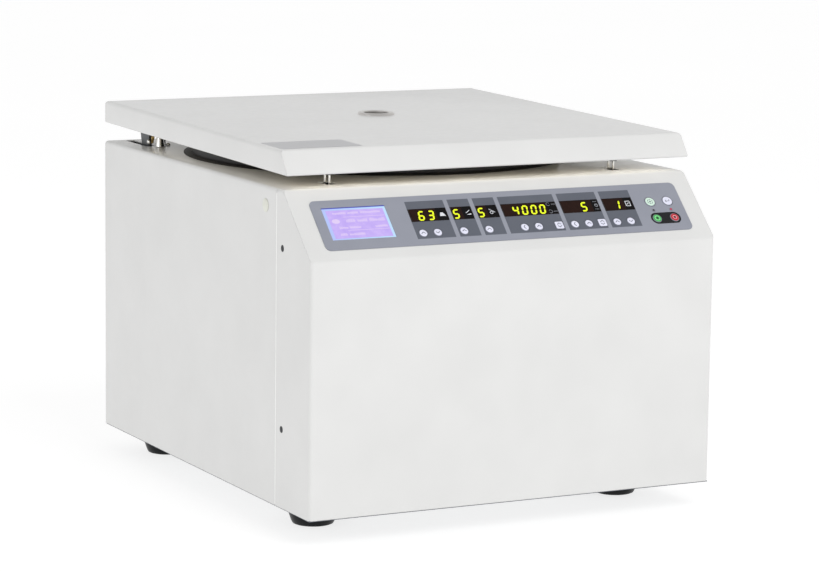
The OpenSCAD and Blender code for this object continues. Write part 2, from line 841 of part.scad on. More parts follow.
module lock_guides() {
    bolt_z = z_deck - bolt_drop;
    color("#3c3f43")
    for (x = [-guide_x, guide_x - 20])
        translate([x - guide_w / 2, y_front + bar_y, 0])
            difference() {
                translate([0, -guide_wall, bolt_z - bar_h / 2 - guide_wall])
                    cube([guide_w, bar_t + 2 * guide_wall, z_under - bolt_z + bar_h / 2 + guide_wall]);
                translate([-1, -seat_gap, bolt_z - bar_h / 2 - seat_gap])
                    cube([guide_w + 2, bar_t + 2 * seat_gap, bar_h + 2 * seat_gap]);
            }
}

// Solenoid that drives the bar, hung from the deck in front of it
solenoid_l = 46;

module lock_solenoid() {
    bolt_z = z_deck - bolt_drop;
    depth = 22;
    color("#2f3135")
    translate([-30, y_front + bar_y - seat_gap - depth, 0]) {
        translate([0, 0, bolt_z - 12]) cube([solenoid_l, depth, z_under - bolt_z + 12]);
        translate([solenoid_l, depth / 2, bolt_z - 2])
            rotate([0, 90, 0]) cylinder(r = 5, h = 10, $fn = 24);
    }
}

// Round plug in the left side over the emergency release
module release_plug() {
    color("#f0f0ee")
    translate([-body_w / 2, y_front + plug_y, z_deck - plug_drop])
        rotate([0, 90, 0])
            rotate_extrude($fn = 48)
                polygon([
                    [0, -1], [plug_r - 1, -1], [plug_r, -seat_gap - 0.2], [plug_r, -0.05],
                    [plug_shank_r, -0.05], [plug_shank_r, 7], [plug_shank_r - 1, 8],
                    [plug_shank_r - 2, 8], [plug_shank_r - 2, 1], [0, 1]
                ]);
}

// Lid outline in its own frame, inset by t
function lid_outline(t) =
    let (lean = lid_lean / lid_t, shift = t * sqrt(1 + lean * lean))
    [
        [-t, t], [-t, lid_t - t],
        [-lid_l + lean * (lid_t - t) + shift, lid_t - t],
        [-lid_l + lean * t + shift, t]
    ];

module lid_pan() {
    port_y = -(body_d - axis_y);
    color(paint)
    on_lid()
        difference() {
            intersection() {
                along_x(body_w)
                    polygon(rounded(lid_outline(0), [1.5, bend_r, bend_r + 1, 1.5]));
                along_y(-lid_l - 1, 1)
                    polygon(rounded(
                        [[-body_w / 2, 0], [body_w / 2, 0], [body_w / 2, lid_t], [-body_w / 2, lid_t]],
                        [1.5, 1.5, bend_r, bend_r]));
            }
            along_x(body_w - 2 * sheet) polygon(lid_outline(sheet));
            translate([-body_w / 2 + sheet + lid_lip, -lid_l + sheet + lid_lip, -1])
                cube([body_w - 2 * sheet - 2 * lid_lip, lid_l - 2 * sheet - 2 * lid_lip, sheet + 2]);
            translate([0, port_y, 0]) cylinder(r = port_hole_r + 2 + sheet_play, h = 100, $fn = 64);
        }
}

module lid_liner() {
    inset = sheet + sheet_play;
    color("#8f9194")
    on_lid()
        difference() {
            translate([-body_w / 2 + inset, -lid_l + inset + lid_lean * 0.3, sheet])
                cube([body_w - 2 * inset, lid_l - 2 * inset - lid_lean * 0.3, liner_t]);
            translate([0, -(body_d - axis_y), 0]) cylinder(r = port_hole_r - 2, h = 100, $fn = 64);
        }
}

module viewport_ring() {
    tube_r = port_hole_r + 2;
    low = sheet + liner_t;
    color("#c8ccd0")
    on_lid()
        translate([0, -(body_d - axis_y), 0])
            rotate_extrude($fn = 64)
                polygon(rounded([
                    [port_hole_r, low], [tube_r, low], [tube_r, lid_t], [port_r, lid_t],
                    [port_r - 1, lid_t + port_proud], [port_hole_r + 1, lid_t + port_proud],
                    [port_hole_r, lid_t + port_proud - 1]
                ], [0, 0, 0, 0, 1, 0, 0], 3));
}

module viewport_glass() {
    color("#9fb0b8", 0.5)
    on_lid()
        translate([0, -(body_d - axis_y), sheet + liner_t])
            cylinder(r = port_hole_r - 0.1, h = 3, $fn = 64);
}

label_t = 0.3;

module lid_label() {
    color("#c4c5c6")
    on_lid()
        translate([0, 0, lid_t])
            linear_extrude(label_t)
                polygon(slab(-body_w / 2 + bend_r + 1, -lid_l + lid_lean + bend_r + 2, label_w, label_d, 2));
}

// Groups of the console: widths of the printed boxes that hold a digit window each
group_ws = [43.8, 24.4, 24.8, 65, 46, 36.4];

// Left end of group i
function group_x(i) = i == 0 ? group_u : group_x(i - 1) + group_ws[i - 1] + group_gap;

// Places of the keys: [along the panel, up the slope, radius, is square]
pair_in = 7.4;
single_in = 5.7;
speed_in = 17.6;
square_r = 4.9;
menu_u = 411.9;
set_u = 433.2;
menu_v = 52.6;
start_v = 30.5;
led_v = 41.4;
led_r = 1.8;
key_places = [
    [group_x(0) + pair_in, key_v, key_r, false],
    [group_x(0) + pair_in + key_pitch, key_v, key_r, false],
    [group_x(1) + single_in, key_v, key_r, false],
    [group_x(2) + single_in, key_v, key_r, false],
    [group_x(3) + speed_in, key_v, key_r, false],
    [group_x(3) + speed_in + key_pitch, key_v, key_r, false],
    [group_x(3) + group_ws[3] - 6.6, key_v, square_r, true],
    [group_x(4) + pair_in, key_v, key_r, false],
    [group_x(4) + pair_in + key_pitch, key_v, key_r, false],
    [group_x(4) + group_ws[4] - 5.8, key_v, square_r, true],
    [group_x(5) + pair_in, key_v, key_r, false],
    [group_x(5) + pair_in + key_pitch, key_v, key_r, false],
    [menu_u, menu_v, big_key_r, false],
    [set_u, menu_v, big_key_r, false],
    [menu_u, start_v, big_key_r - 0.8, false],
    [set_u, start_v, big_key_r - 0.8, false]
];

// Outline of a key of radius r, drawn round its own centre
module key_outline(r, square) {
    if (square) polygon(slab(-r, -r, 2 * r, 2 * r, 1.6));
    else circle(r = r, $fn = 40);
}

panel_back = -panel_depth;
key_low = panel_back - key_play;
board_top = key_low - 5;
board_t = 1.6;
window_low = -3;
post_r = 3;

module console_panel() {
    play = sheet_play;
    color("#9a9aa5")
    on_slope()
        difference() {
            union() {
                linear_extrude(panel_t)
                    polygon(slab(panel_u, panel_v, panel_w, panel_l, panel_r));
                translate([0, 0, panel_back])
                    linear_extrude(panel_depth + eps)
                        polygon(slab(aperture_u + play, aperture_v + play,
                            aperture_w - 2 * play, aperture_l - 2 * play, 2.6));
                for (u = [aperture_u + 3.6, group_u - 9, set_u - 26, aperture_u + aperture_w - 3.6])
                    translate([u, aperture_v + 3.6, board_top])
                        cylinder(r = post_r, h = panel_back - board_top + 1, $fn = 24);
            }
            translate([lcd_u, lcd_v, -10]) cube([lcd_w, lcd_l, 20]);
            for (i = [0:5])
                translate([group_x(i) + 1, band_v, -10]) cube([group_ws[i] - 2, band_l, 20]);
            for (k = key_places)
                translate([k[0], k[1], -10])
                    linear_extrude(20) key_outline(k[2] + key_play, k[3]);
            for (u = [menu_u, set_u])
                translate([u, led_v, -10]) cylinder(r = led_r + 0.2, h = 20, $fn = 24);
        }
}

module key(i) {
    k = key_places[i];
    tint = i == 14 ? "#3fa46a" : i == 15 ? "#c8303a" : "#dcdce8";
    color(tint)
    on_slope()
        translate([k[0], k[1], 0]) {
            translate([0, 0, key_low - eps])
                linear_extrude(panel_t + key_proud - 0.5 - key_low + eps) key_outline(k[2], k[3]);
            translate([0, 0, panel_t + key_proud - 0.5 - eps])
                linear_extrude(0.5 + eps) key_outline(k[2] - 0.5, k[3]);
            translate([0, 0, key_low - 1.2])
                linear_extrude(1.2) key_outline(k[2] + 0.9, k[3]);
            translate([0, 0, key_low - 2.4]) cylinder(r = 1.5, h = 2.4, $fn = 24);
        }
}

module lcd_window() {
    play = 0.2;
    color("#8f8fe8")
    on_slope()
        translate([lcd_u + play, lcd_v + play, window_low])
            cube([lcd_w - 2 * play, lcd_l - 2 * play, panel_t - 0.3 - window_low]);
}

module digit_windows() {
    play = 0.2;
    color("#2a1c14")
    on_slope()
        for (i = [0:5])
            translate([group_x(i) + 1 + play, band_v + play, window_low])
                cube([group_ws[i] - 2 - 2 * play, band_l - 2 * play, panel_t - 0.2 - window_low]);
}

module indicator_leds() {
    color("#b02028")
    on_slope()
        for (u = [menu_u, set_u])
            translate([u, led_v, board_top]) {
                cylinder(r = led_r + 0.6, h = 3.5, $fn = 24);
                cylinder(r = led_r, h = panel_t + 0.2 - board_top, $fn = 24);
            }
}

module display_board() {
    edge = 1;
    switch_top = key_low - 2.4 - key_travel - 0.2;
    color("#2f6b45")
    on_slope() {
        translate([aperture_u + edge, aperture_v + edge, board_top - board_t])
            cube([aperture_w - 2 * edge, aperture_l - 2 * edge, board_t]);
        translate([lcd_u + 1, lcd_v + 1, board_top - eps])
            cube([lcd_w - 2, lcd_l - 2, window_low - board_top + eps]);
        for (i = [0:5])
            translate([group_x(i) + 2, band_v + 1, board_top - eps])
                cube([group_ws[i] - 4, band_l - 2, window_low - board_top + eps]);
        for (k = key_places)
            translate([k[0] - 3, k[1] - 3, board_top - eps])
                cube([6, 6, switch_top - board_top + eps]);
    }
}

// Motor drive in the bottom of the cabinet, behind the front face
drive_w = 300;
drive_d = 84;
drive_y = 22;
drive_t = 2;
spacer_r = 4;
spacer_h = 8;
sink_x = 18;
sink_w = 66;
sink_t = 5;
sink_h = 42;
fin_t = 2.5;
fin_count = 8;
capacitor_r = 15;
capacitor_h = 50;
choke_w = 70;
choke_h = 46;

module drive_board() {
    low = z_bottom + sheet;
    top = low + spacer_h + drive_t - eps;
    edge = 2 * spacer_r;
    fin_pitch = (sink_w - 2 * fin_t) / (fin_count - 1);
    color("#2f6b45")
    translate([-drive_w / 2, y_front + drive_y, 0]) {
        translate([0, 0, low + spacer_h]) cube([drive_w, drive_d, drive_t]);
        for (x = [edge, drive_w - edge], y = [edge, drive_d - edge])
            translate([x, y, low]) cylinder(r = spacer_r, h = spacer_h + eps, $fn = 24);
        translate([sink_x, edge, top]) cube([sink_w, drive_d - 2 * edge, sink_t]);
        for (i = [0:fin_count - 1])
            translate([sink_x + fin_t / 2 + i * fin_pitch, edge + fin_t, top])
                cube([fin_t, drive_d - 2 * edge - 2 * fin_t, sink_h]);
        for (i = [0, 1])
            translate([sink_x + sink_w + 26 + i * (2 * capacitor_r + 6), drive_d / 2, top])
                cylinder(r = capacitor_r, h = capacitor_h, $fn = 32);
        translate([drive_w - edge - choke_w - 32, 2 * edge, top])
            cube([choke_w, drive_d - 4 * edge, choke_h]);
    }
}

// Power inlet with a fuse drawer below its socket
socket_w = 24.4;
socket_h = 16.4;
socket_depth = 16;
socket_up = 11;
pin_l = 11;

module power_inlet() {
    play = 0.2;
    color(black)
    translate([inlet_x, y_back, z_bottom + inlet_z]) {
        difference() {
            union() {
                translate([-inlet_w / 2 - 2, -sheet - 1.6, -inlet_h / 2 - 1]) cube([inlet_w + 4, 1.6, inlet_h + 2]);
                translate([-inlet_w / 2 + play, -24, -inlet_h / 2 + play])
                    cube([inlet_w - 2 * play, 24, inlet_h - 2 * play]);
            }
            translate([0, 1, socket_up])
                rotate([90, 0, 0])
                    linear_extrude(socket_depth + 1)
                        polygon(rounded([
                            [-socket_w / 2, -socket_h / 2], [socket_w / 2, -socket_h / 2],
                            [socket_w / 2, socket_h / 2 - 5], [socket_w / 2 - 5, socket_h / 2],
                            [-socket_w / 2 + 5, socket_h / 2], [-socket_w / 2, socket_h / 2 - 5]
                        ], [1, 1, 1, 1, 1, 1], 3));
            translate([-9, -2, -inlet_h / 2 + 4]) cube([18, 3, 1]);
        }
        for (x = [-7, 0, 7])
            translate([x - 1, -socket_depth - 1, socket_up - (x == 0 ? -1 : 3)]) cube([2, pin_l + 1, 4]);
    }
}

// Rocker switch: a snap-in frame and its rocker
rocker_pivot = 5.5;
rocker_r = 9.4;
rocker_a = 8;
switch_wall = 1.5;

module switch_frame() {
    play = 0.2;
    color(black)
    translate([switch_x, y_back, z_bottom + inlet_z])
        difference() {
            translate([-switch_w / 2 + play, -20, -switch_h / 2 + play])
                cube([switch_w - 2 * play, 20, switch_h - 2 * play]);
            translate([-switch_w / 2 + switch_wall, -16, -rocker_r - 0.4])
                cube([switch_w - 2 * switch_wall, 17, 2 * rocker_r + 0.8]);
        }
}

module switch_rocker() {
    width = switch_w - 2 * switch_wall - 2 * seat_gap;
    lip_a = 16;
    color("#2a2b2d")
    translate([switch_x, y_back - rocker_pivot, z_bottom + inlet_z])
        rotate([rocker_a, 0, 0])
            along_x(width)
                polygon(concat(
                    [for (a = [90 - lip_a:12:270 + lip_a]) rocker_r * [cos(a), sin(a)]],
                    [[rocker_pivot - 2.2, 0]]
                ));
}

module spindle() {
    top = head_z + head_t;
    color(steel)
    translate([0, axis[1], 0]) {
        translate([0, 0, spindle_low]) cylinder(r = spindle_r, h = top - spindle_low, $fn = 48);
        translate([0, 0, top - eps]) cylinder(r = spindle_r - 2, h = 16, $fn = 32);
        translate([0, 0, head_z - 16]) cylinder(r = spindle_r + 4, h = 3, $fn = 48);
    }
}

slot_half = 31;
slot_in = pivot_r - bucket_r - 6;
trunnion_l = 5;
hub_r = 26;
hub_low = 13;

// Rotor head: a disc with four bucket seats, each with two pivot pins
module rotor_head() {
    color("#a7abae")
    translate([0, axis[1], head_z]) {
        difference() {
            union() {
                cylinder(r = head_r, h = head_t, $fn = 96);
                translate([0, 0, -hub_low]) cylinder(r = hub_r, h = hub_low + eps, $fn = 48);
            }
            for (a = [0:90:270])
                rotate([0, 0, a]) {
                    translate([slot_in, -slot_half, -1]) cube([head_r, 2 * slot_half, head_t + 2]);
                    rotate([0, 0, 45])
                        translate([head_r - 18, 0, -1]) cylinder(r = 11, h = head_t + 2, $fn = 32);
                }
            translate([0, 0, -hub_low - 1]) cylinder(r = spindle_r, h = head_t + hub_low + 2, $fn = 48);
            translate([0, 0, head_t - 4])
                difference() {
                    cylinder(r = slot_in - 6, h = 5, $fn = 64);
                    translate([0, 0, -1]) cylinder(r = hub_r, h = 7, $fn = 48);
                }
        }
        for (a = [0:90:270])
            rotate([0, 0, a])
                for (side = [-1, 1])
                    translate([pivot_r, side * (slot_half + 2), head_t / 2])
                        rotate([side * 90, 0, 0]) cylinder(r = trunnion_r, h = trunnion_l + 2, $fn = 32);
    }
}

// Knurled nut that holds the rotor head down
module rotor_nut() {
    color("#35373a")
    translate([0, axis[1], head_z + head_t])
        difference() {
            union() {
                cylinder(r = 20, h = 6, $fn = 48);
                cylinder(r = 15, h = 22, $fn = 48);
                for (a = [0:30:330])
                    rotate([0, 0, a]) translate([15, 0, 6]) cylinder(r = 2.5, h = 14, $fn = 16);
            }
            translate([0, 0, -1]) cylinder(r = spindle_r - 2, h = 17 + eps, $fn = 32);
        }
}

// Bucket that hangs at angle a round the rotor
module bucket(a) {
    boss_out = slot_half - seat_gap;
    boss_r = trunnion_r + 4;
    rim = 10;
    color("#b4b7b9")
    translate([0, axis[1], pivot_z])
        rotate([0, 0, a])
            translate([pivot_r, 0, 0])
                difference() {
                    union() {
                        rotate_extrude($fn = 64)
                            polygon(rounded([
                                [0, -bucket_l], [bucket_r, -bucket_l], [bucket_r, rim - 3],
                                [bucket_r + 1.5, rim - 3], [bucket_r + 1.5, rim], [0, rim]
                            ], [0, 7, 0, 0, 0.6, 0]));
                        for (side = [-90, 90])
                            rotate([side, 0, 0]) {
                                cylinder(r = boss_r, h = boss_out, $fn = 32);
                                translate([-boss_r, side < 0 ? 0 : -18, 0]) cube([2 * boss_r, 18, boss_out - 3]);
                            }
                    }
                    rotate_extrude($fn = 64)
                        polygon(rounded([
                            [0, -bucket_l + bucket_t], [bucket_r - bucket_t, -bucket_l + bucket_t],
                            [bucket_r - bucket_t, rim + 1], [0, rim + 1]
                        ], [0, 5, 0, 0]));
                    for (side = [-90, 90])
                        rotate([side, 0, 0])
                            translate([0, 0, slot_half - trunnion_l - seat_gap])
                                cylinder(r = trunnion_r + run_play, h = 20, $fn = 32);
                }
}

base_plate();
chassis_frame();
guard_ring();
feet();
screws();
front_cover();
housing();
rear_panel();
console_panel();
lcd_window();
digit_windows();
indicator_leds();
display_board();
drive_board();
chamber_bowl();
chamber_seal();
motor();
motor_dampers();
spindle_boot();
hinge_brackets();
hinge_pins();
hinge_springs();
power_inlet();
switch_frame();
lock_guides();
lock_solenoid();
switch_rocker();
release_plug();
lid_pan();
lid_liner();
lid_arms();
rest_studs();
latch_strikers();
viewport_ring();
viewport_glass();
lid_label();
lock_bar();
spindle();
rotor_head();
rotor_nut();
bucket(0);  // bucket_right
bucket(90);  // bucket_rear
bucket(180);  // bucket_left
bucket(270);  // bucket_front
for (i = [0:len(key_names) - 1])
    key(i);
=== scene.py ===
"""Looks of a bench centrifuge for butterfat tests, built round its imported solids.

Sizes are in millimetres and are turned to metres where a mesh is made. The front faces -Y.
"""
import math

import bpy
import numpy as np
from mathutils import Matrix, Vector


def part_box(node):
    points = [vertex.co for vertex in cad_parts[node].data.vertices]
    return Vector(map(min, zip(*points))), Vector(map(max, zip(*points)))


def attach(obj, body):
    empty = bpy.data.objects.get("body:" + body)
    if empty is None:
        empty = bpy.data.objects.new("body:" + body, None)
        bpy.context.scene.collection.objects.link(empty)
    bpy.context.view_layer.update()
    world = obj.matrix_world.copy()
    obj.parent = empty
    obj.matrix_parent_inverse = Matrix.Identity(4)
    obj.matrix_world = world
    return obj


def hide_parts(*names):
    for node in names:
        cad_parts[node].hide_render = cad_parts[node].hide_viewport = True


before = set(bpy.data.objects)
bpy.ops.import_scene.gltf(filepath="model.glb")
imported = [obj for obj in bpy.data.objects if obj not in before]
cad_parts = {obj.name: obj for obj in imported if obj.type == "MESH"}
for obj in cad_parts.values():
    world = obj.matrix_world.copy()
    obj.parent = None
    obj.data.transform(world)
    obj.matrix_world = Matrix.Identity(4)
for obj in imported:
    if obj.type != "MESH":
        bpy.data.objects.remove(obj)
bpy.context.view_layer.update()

MM = 0.001

# Camera, solved from the straight edges of the cabinet and the lid in the photograph
CAMERA_PLACE = (-1565.9, -3070.5, 755.6)
CAMERA_AZIMUTH = -27.2393
CAMERA_ELEVATION = 8.9528
CAMERA_ROLL = 0.7321
CAMERA_FOCAL_PX = 3177.6
PHOTO_WIDTH_PX = 819
SENSOR_MM = 36.0

# Cabinet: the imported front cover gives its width, its depth and the height of the deck
LOW, HIGH = (np.array(corner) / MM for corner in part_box("front_cover"))
FRONT_Y = LOW[1]
BACK_Y = -FRONT_Y
BODY_W = HIGH[0] - LOW[0]
DECK_Z = HIGH[2]
BOTTOM_Z = LOW[2]
SLOPE_RUN = 67.2
SLOPE_RISE = 65.2
LID_GAP = 20.8
AXIS_Y = FRONT_Y + 330

# Console: places run along the slope (u) and up it (v) from its lower left corner
GROUP_U = 127.5
GROUP_GAP = 4.7
GROUP_WIDTHS = (43.8, 24.4, 24.8, 65.0, 46.0, 36.4)
GROUP_V = 21.9
GROUP_H = 48.1
BAND_V = 43.8
BAND_H = 16.4
WINDOW_TOP = 0.6
KEY_TOP = 1.3
KEY_V = 29.0
KEY_PITCH = 16.6
KEY_R = 4.8
SQUARE_KEY_R = 4.9
MENU_KEY_R = 6.0
START_KEY_R = 5.2
MENU_V = 52.6
LAMP_V = 41.4
LAMP_R = 1.2
DIGIT_H = 12.3
DIGIT_W = 7.0
DIGIT_V = 51.2
PRINT_T = 0.06
PILL_U = (411.9, 433.2)
PILL_V = 30.5
PILL_R = 7.4
LCD_U = 33.0
LCD_V = 26.5
LCD_W = 71.0
LCD_H = 41.0

# The printed boxes lean a little to the left at their lower ends
BOX_LEAN = 0.022

# Where the lit figures end and the pictograms begin in each window
DIVIDERS = (158.6, 188.4, 217.4, 287.6, 341.4, 380.2)


def linear(hex_colour, alpha=1.0):
    """sRGB hex to the linear colour that a shader takes."""
    channels = [int(hex_colour[i:i + 2], 16) / 255 for i in (1, 3, 5)]
    return (*[c / 12.92 if c <= 0.04045 else ((c + 0.055) / 1.055) ** 2.4 for c in channels], alpha)


# Frames of the console slope and of the cabinet's sides, as 4 x 4 matrices in millimetres

def turned(angle, place):
    """Rotation by angle about X, then a move to place."""
    c, s = math.cos(angle), math.sin(angle)
    matrix = np.eye(4)
    matrix[:3, :3] = [[1, 0, 0], [0, c, -s], [0, s, c]]
    matrix[:3, 3] = place
    return matrix


SLOPE_ANGLE = math.atan2(SLOPE_RISE, SLOPE_RUN)
SLOPE = turned(SLOPE_ANGLE, (-BODY_W / 2, FRONT_Y, DECK_Z - SLOPE_RISE))
UPRIGHT = np.eye(4)
LEFT_SIDE = np.array([[0, 0, -1, -BODY_W / 2], [-1, 0, 0, 0], [0, 1, 0, 0], [0, 0, 0, 1.0]])
RIGHT_SIDE = np.array([[0, 0, 1, BODY_W / 2], [1, 0, 0, 0], [0, 1, 0, 0], [0, 0, 0, 1.0]])


def placed(points, matrix):
    """Points in a frame, in millimetres, as metres in the frame of the whole part."""
    points = np.asarray(points, float).reshape(-1, 3)
    return (points @ matrix[:3, :3].T + matrix[:3, 3]) * MM


# Materials

def add(tree, kind, inputs=None, **settings):
    """Adds a node; inputs maps socket names or numbers to values or to other nodes' sockets."""
    made = tree.nodes.new(kind)
    for name, value in settings.items():
        setattr(made, name, value)
    for name, value in (inputs or {}).items():
        if isinstance(value, bpy.types.NodeSocket):
            tree.links.new(value, made.inputs[name])
        else:
            made.inputs[name].default_value = value
    return made


def finish_of(name, **sockets):
    """A new material with one principled shader; constants go straight onto its sockets."""
    made = bpy.data.materials.new(name)
    made.use_nodes = True
    shader = made.node_tree.nodes["Principled BSDF"]
    for socket, value in sockets.items():
        shader.inputs[socket.replace("_", " ")].default_value = value
    return made, made.node_tree, shader


def coords(tree):
    """Object coordinates in metres."""
    return add(tree, "ShaderNodeTexCoord").outputs["Object"]


def noise(tree, vector, size_mm, detail=2.0, roughness=0.5):
    """Noise whose lumps are about size_mm wide."""
    scale = 1 / (size_mm * MM)
    return add(tree, "ShaderNodeTexNoise", {
        "Vector": vector, "Scale": scale, "Detail": detail, "Roughness": roughness}).outputs["Fac"]


def tint(tree, factor, dark, light):
    """Blends from dark to light as factor runs over the middle of its range."""
    ramp = add(tree, "ShaderNodeValToRGB", {"Fac": factor})
    ramp.color_ramp.elements[0].position = 0.3
    ramp.color_ramp.elements[0].color = linear(dark)
    ramp.color_ramp.elements[1].position = 0.7
    ramp.color_ramp.elements[1].color = linear(light)
    return ramp.outputs["Color"]


def spread(tree, factor, low, high):
    """Maps a noise to a range, for roughness."""
    return add(tree, "ShaderNodeMapRange", {
        "Value": factor, "From Min": 0.3, "From Max": 0.7, "To Min": low, "To Max": high}).outputs["Result"]


def relief(tree, shader, height, depth_mm, edge_mm):
    """Bump of the given depth, over edges that look rounded by edge_mm."""
    rounded = add(tree, "ShaderNodeBevel", {"Radius": edge_mm * MM}, samples=4)
    bump = add(tree, "ShaderNodeBump", {
        "Height": height, "Distance": depth_mm * MM, "Strength": 1.0, "Normal": rounded.outputs["Normal"]})
    tree.links.new(bump.outputs["Normal"], shader.inputs["Normal"])


def powder_coat(name, dark, light, rough):
    """Baked polyester powder on steel: an even coat whose fine orange peel softens its highlights."""
    made, tree, shader = finish_of(name, IOR=1.5, Coat_Weight=0.3, Coat_Roughness=0.08)
    where = coords(tree)
    tree.links.new(tint(tree, noise(tree, where, 70), dark, light), shader.inputs["Base Color"])
    sheen = spread(tree, noise(tree, where, 9), rough - 0.04, rough + 0.04)
    tree.links.new(sheen, shader.inputs["Roughness"])
    # The real peel is about 1 mm across; it is drawn at 3 mm so that it shows at this distance
    relief(tree, shader, noise(tree, where, 3), 0.02, 1.2)
    return made


def brushed_metal(name, dark, light, rough, along, grain_mm=0.5, stretch=40):
    """Metal with a directional grain: hair lines grain_mm wide and stretch times as long along one axis."""
    made, tree, shader = finish_of(name, Metallic=1.0)
    scale = [1.0, 1.0, 1.0]
    scale[along] = 1 / stretch
    mapped = add(tree, "ShaderNodeMapping", {"Vector": coords(tree), "Scale": scale}).outputs["Vector"]
    lines = noise(tree, mapped, grain_mm, 4.0, 0.65)
    tree.links.new(tint(tree, lines, dark, light), shader.inputs["Base Color"])
    tree.links.new(spread(tree, lines, rough - 0.06, rough + 0.08), shader.inputs["Roughness"])
    relief(tree, shader, lines, 0.01, 0.4)
    return made


def turned_metal(name, dark, light, rough, centre, ring_mm=0.8):
    """Spun or turned metal: fine rings round an upright axis through centre."""
    made, tree, shader = finish_of(name, Metallic=1.0)
    offset = [-c * MM for c in centre]
    moved = add(tree, "ShaderNodeVectorMath", {0: coords(tree), 1: offset}, operation="ADD").outputs[0]
    flat = add(tree, "ShaderNodeVectorMath", {0: moved, 1: (1, 1, 0)}, operation="MULTIPLY").outputs[0]
    radius = add(tree, "ShaderNodeVectorMath", {0: flat}, operation="LENGTH").outputs["Value"]
    height = add(tree, "ShaderNodeSeparateXYZ", {"Vector": moved}).outputs["Z"]
    both = add(tree, "ShaderNodeCombineXYZ", {"X": radius, "Y": height}).outputs["Vector"]
    rings = noise(tree, both, ring_mm, 3.0, 0.6)
    tree.links.new(tint(tree, rings, dark, light), shader.inputs["Base Color"])
    tree.links.new(spread(tree, rings, rough - 0.05, rough + 0.08), shader.inputs["Roughness"])
    relief(tree, shader, rings, 0.01, 0.4)
    return made


def plated_steel(name, dark, light, rough):
    """Zinc or phosphate on sheet steel: cloudy crystals a few millimetres wide."""
    made, tree, shader = finish_of(name, Metallic=0.85)
    where = coords(tree)
    cloud = noise(tree, where, 12, 5.0, 0.6)
    tree.links.new(tint(tree, cloud, dark, light), shader.inputs["Base Color"])
    tree.links.new(spread(tree, cloud, rough - 0.08, rough + 0.1), shader.inputs["Roughness"])
    relief(tree, shader, noise(tree, where, 1.5, 4.0), 0.02, 0.4)
    return made


def moulded(name, dark, light, rough, grain_mm=1.0, depth_mm=0.03, edge_mm=0.3, ior=1.5):
    """Moulded plastic or rubber, ink or casting paint: an even colour, its shine dulled by a fine grain."""
    made, tree, shader = finish_of(name, IOR=ior)
    where = coords(tree)
    grain = noise(tree, where, grain_mm, 3.0, 0.6)
    tree.links.new(tint(tree, noise(tree, where, 14), dark, light), shader.inputs["Base Color"])
    tree.links.new(spread(tree, grain, rough - 0.05, rough + 0.07), shader.inputs["Roughness"])
    relief(tree, shader, grain, depth_mm, edge_mm)
    return made


def layer(tree, factor, below, above):
    """Colour above where factor is 1, and below where it is 0; each is a socket or a colour."""
    mix = add(tree, "ShaderNodeMix", data_type="RGBA")
    tree.links.new(factor, mix.inputs["Factor"])
    for socket, value in zip([s for s in mix.inputs if s.type == "RGBA"], (below, above)):
        if isinstance(value, bpy.types.NodeSocket):
            tree.links.new(value, socket)
        else:
            socket.default_value = value
    return next(s for s in mix.outputs if s.type == "RGBA")


def lit(name, colour, strength, base="#101010"):
    """Light-emitting print or lens behind clear plastic: an even glow under a glossy skin. Also a glowing
    strip that paints in a highlight.
    """
    made, tree, shader = finish_of(name, Roughness=0.25, Emission_Strength=strength)
    shader.inputs["Base Color"].default_value = linear(base)
    lighter = [min(1.0, c * 1.12) for c in linear(colour)[:3]]
    glow = layer(tree, noise(tree, coords(tree), 2.5), linear(colour), (*lighter, 1))
    tree.links.new(glow, shader.inputs["Emission Color"])
    return made


def math_node(tree, operation, a, b=0.0):
    """Result of one arithmetic step."""
    return add(tree, "ShaderNodeMath", {0: a, 1: b}, operation=operation).outputs[0]


def inside(tree, value, centre, half):
    """1 where value lies within half of centre."""
    off = math_node(tree, "ABSOLUTE", math_node(tree, "SUBTRACT", value, centre))
    return math_node(tree, "LESS_THAN", off, half)


def slope_place(tree):
    """Coordinates along the console and up its slope, in millimetres."""
    local = add(tree, "ShaderNodeMapping", {
        "Vector": coords(tree), "Location": SLOPE[:3, 3] * MM, "Rotation": (SLOPE_ANGLE, 0, 0),
        "Scale": (MM, MM, MM)}, vector_type="TEXTURE").outputs["Vector"]
    split = add(tree, "ShaderNodeSeparateXYZ", {"Vector": local})
    return split.outputs["X"], split.outputs["Y"]


def group_left(i):
    """Left end of printed box i along the console."""
    return GROUP_U + sum(GROUP_WIDTHS[:i]) + GROUP_GAP * i


def away(tree, u, v, centre_u, centre_v, half=0.0):
    """Distance from a point, or from a level stroke that reaches half to each side of it."""
    out = math_node(tree, "ABSOLUTE", math_node(tree, "SUBTRACT", u, centre_u))
    out = math_node(tree, "MAXIMUM", math_node(tree, "SUBTRACT", out, half), 0.0)
    up = math_node(tree, "SUBTRACT", v, centre_v)
    return math_node(tree, "SQRT", math_node(
        tree, "ADD", math_node(tree, "MULTIPLY", out, out), math_node(tree, "MULTIPLY", up, up)))


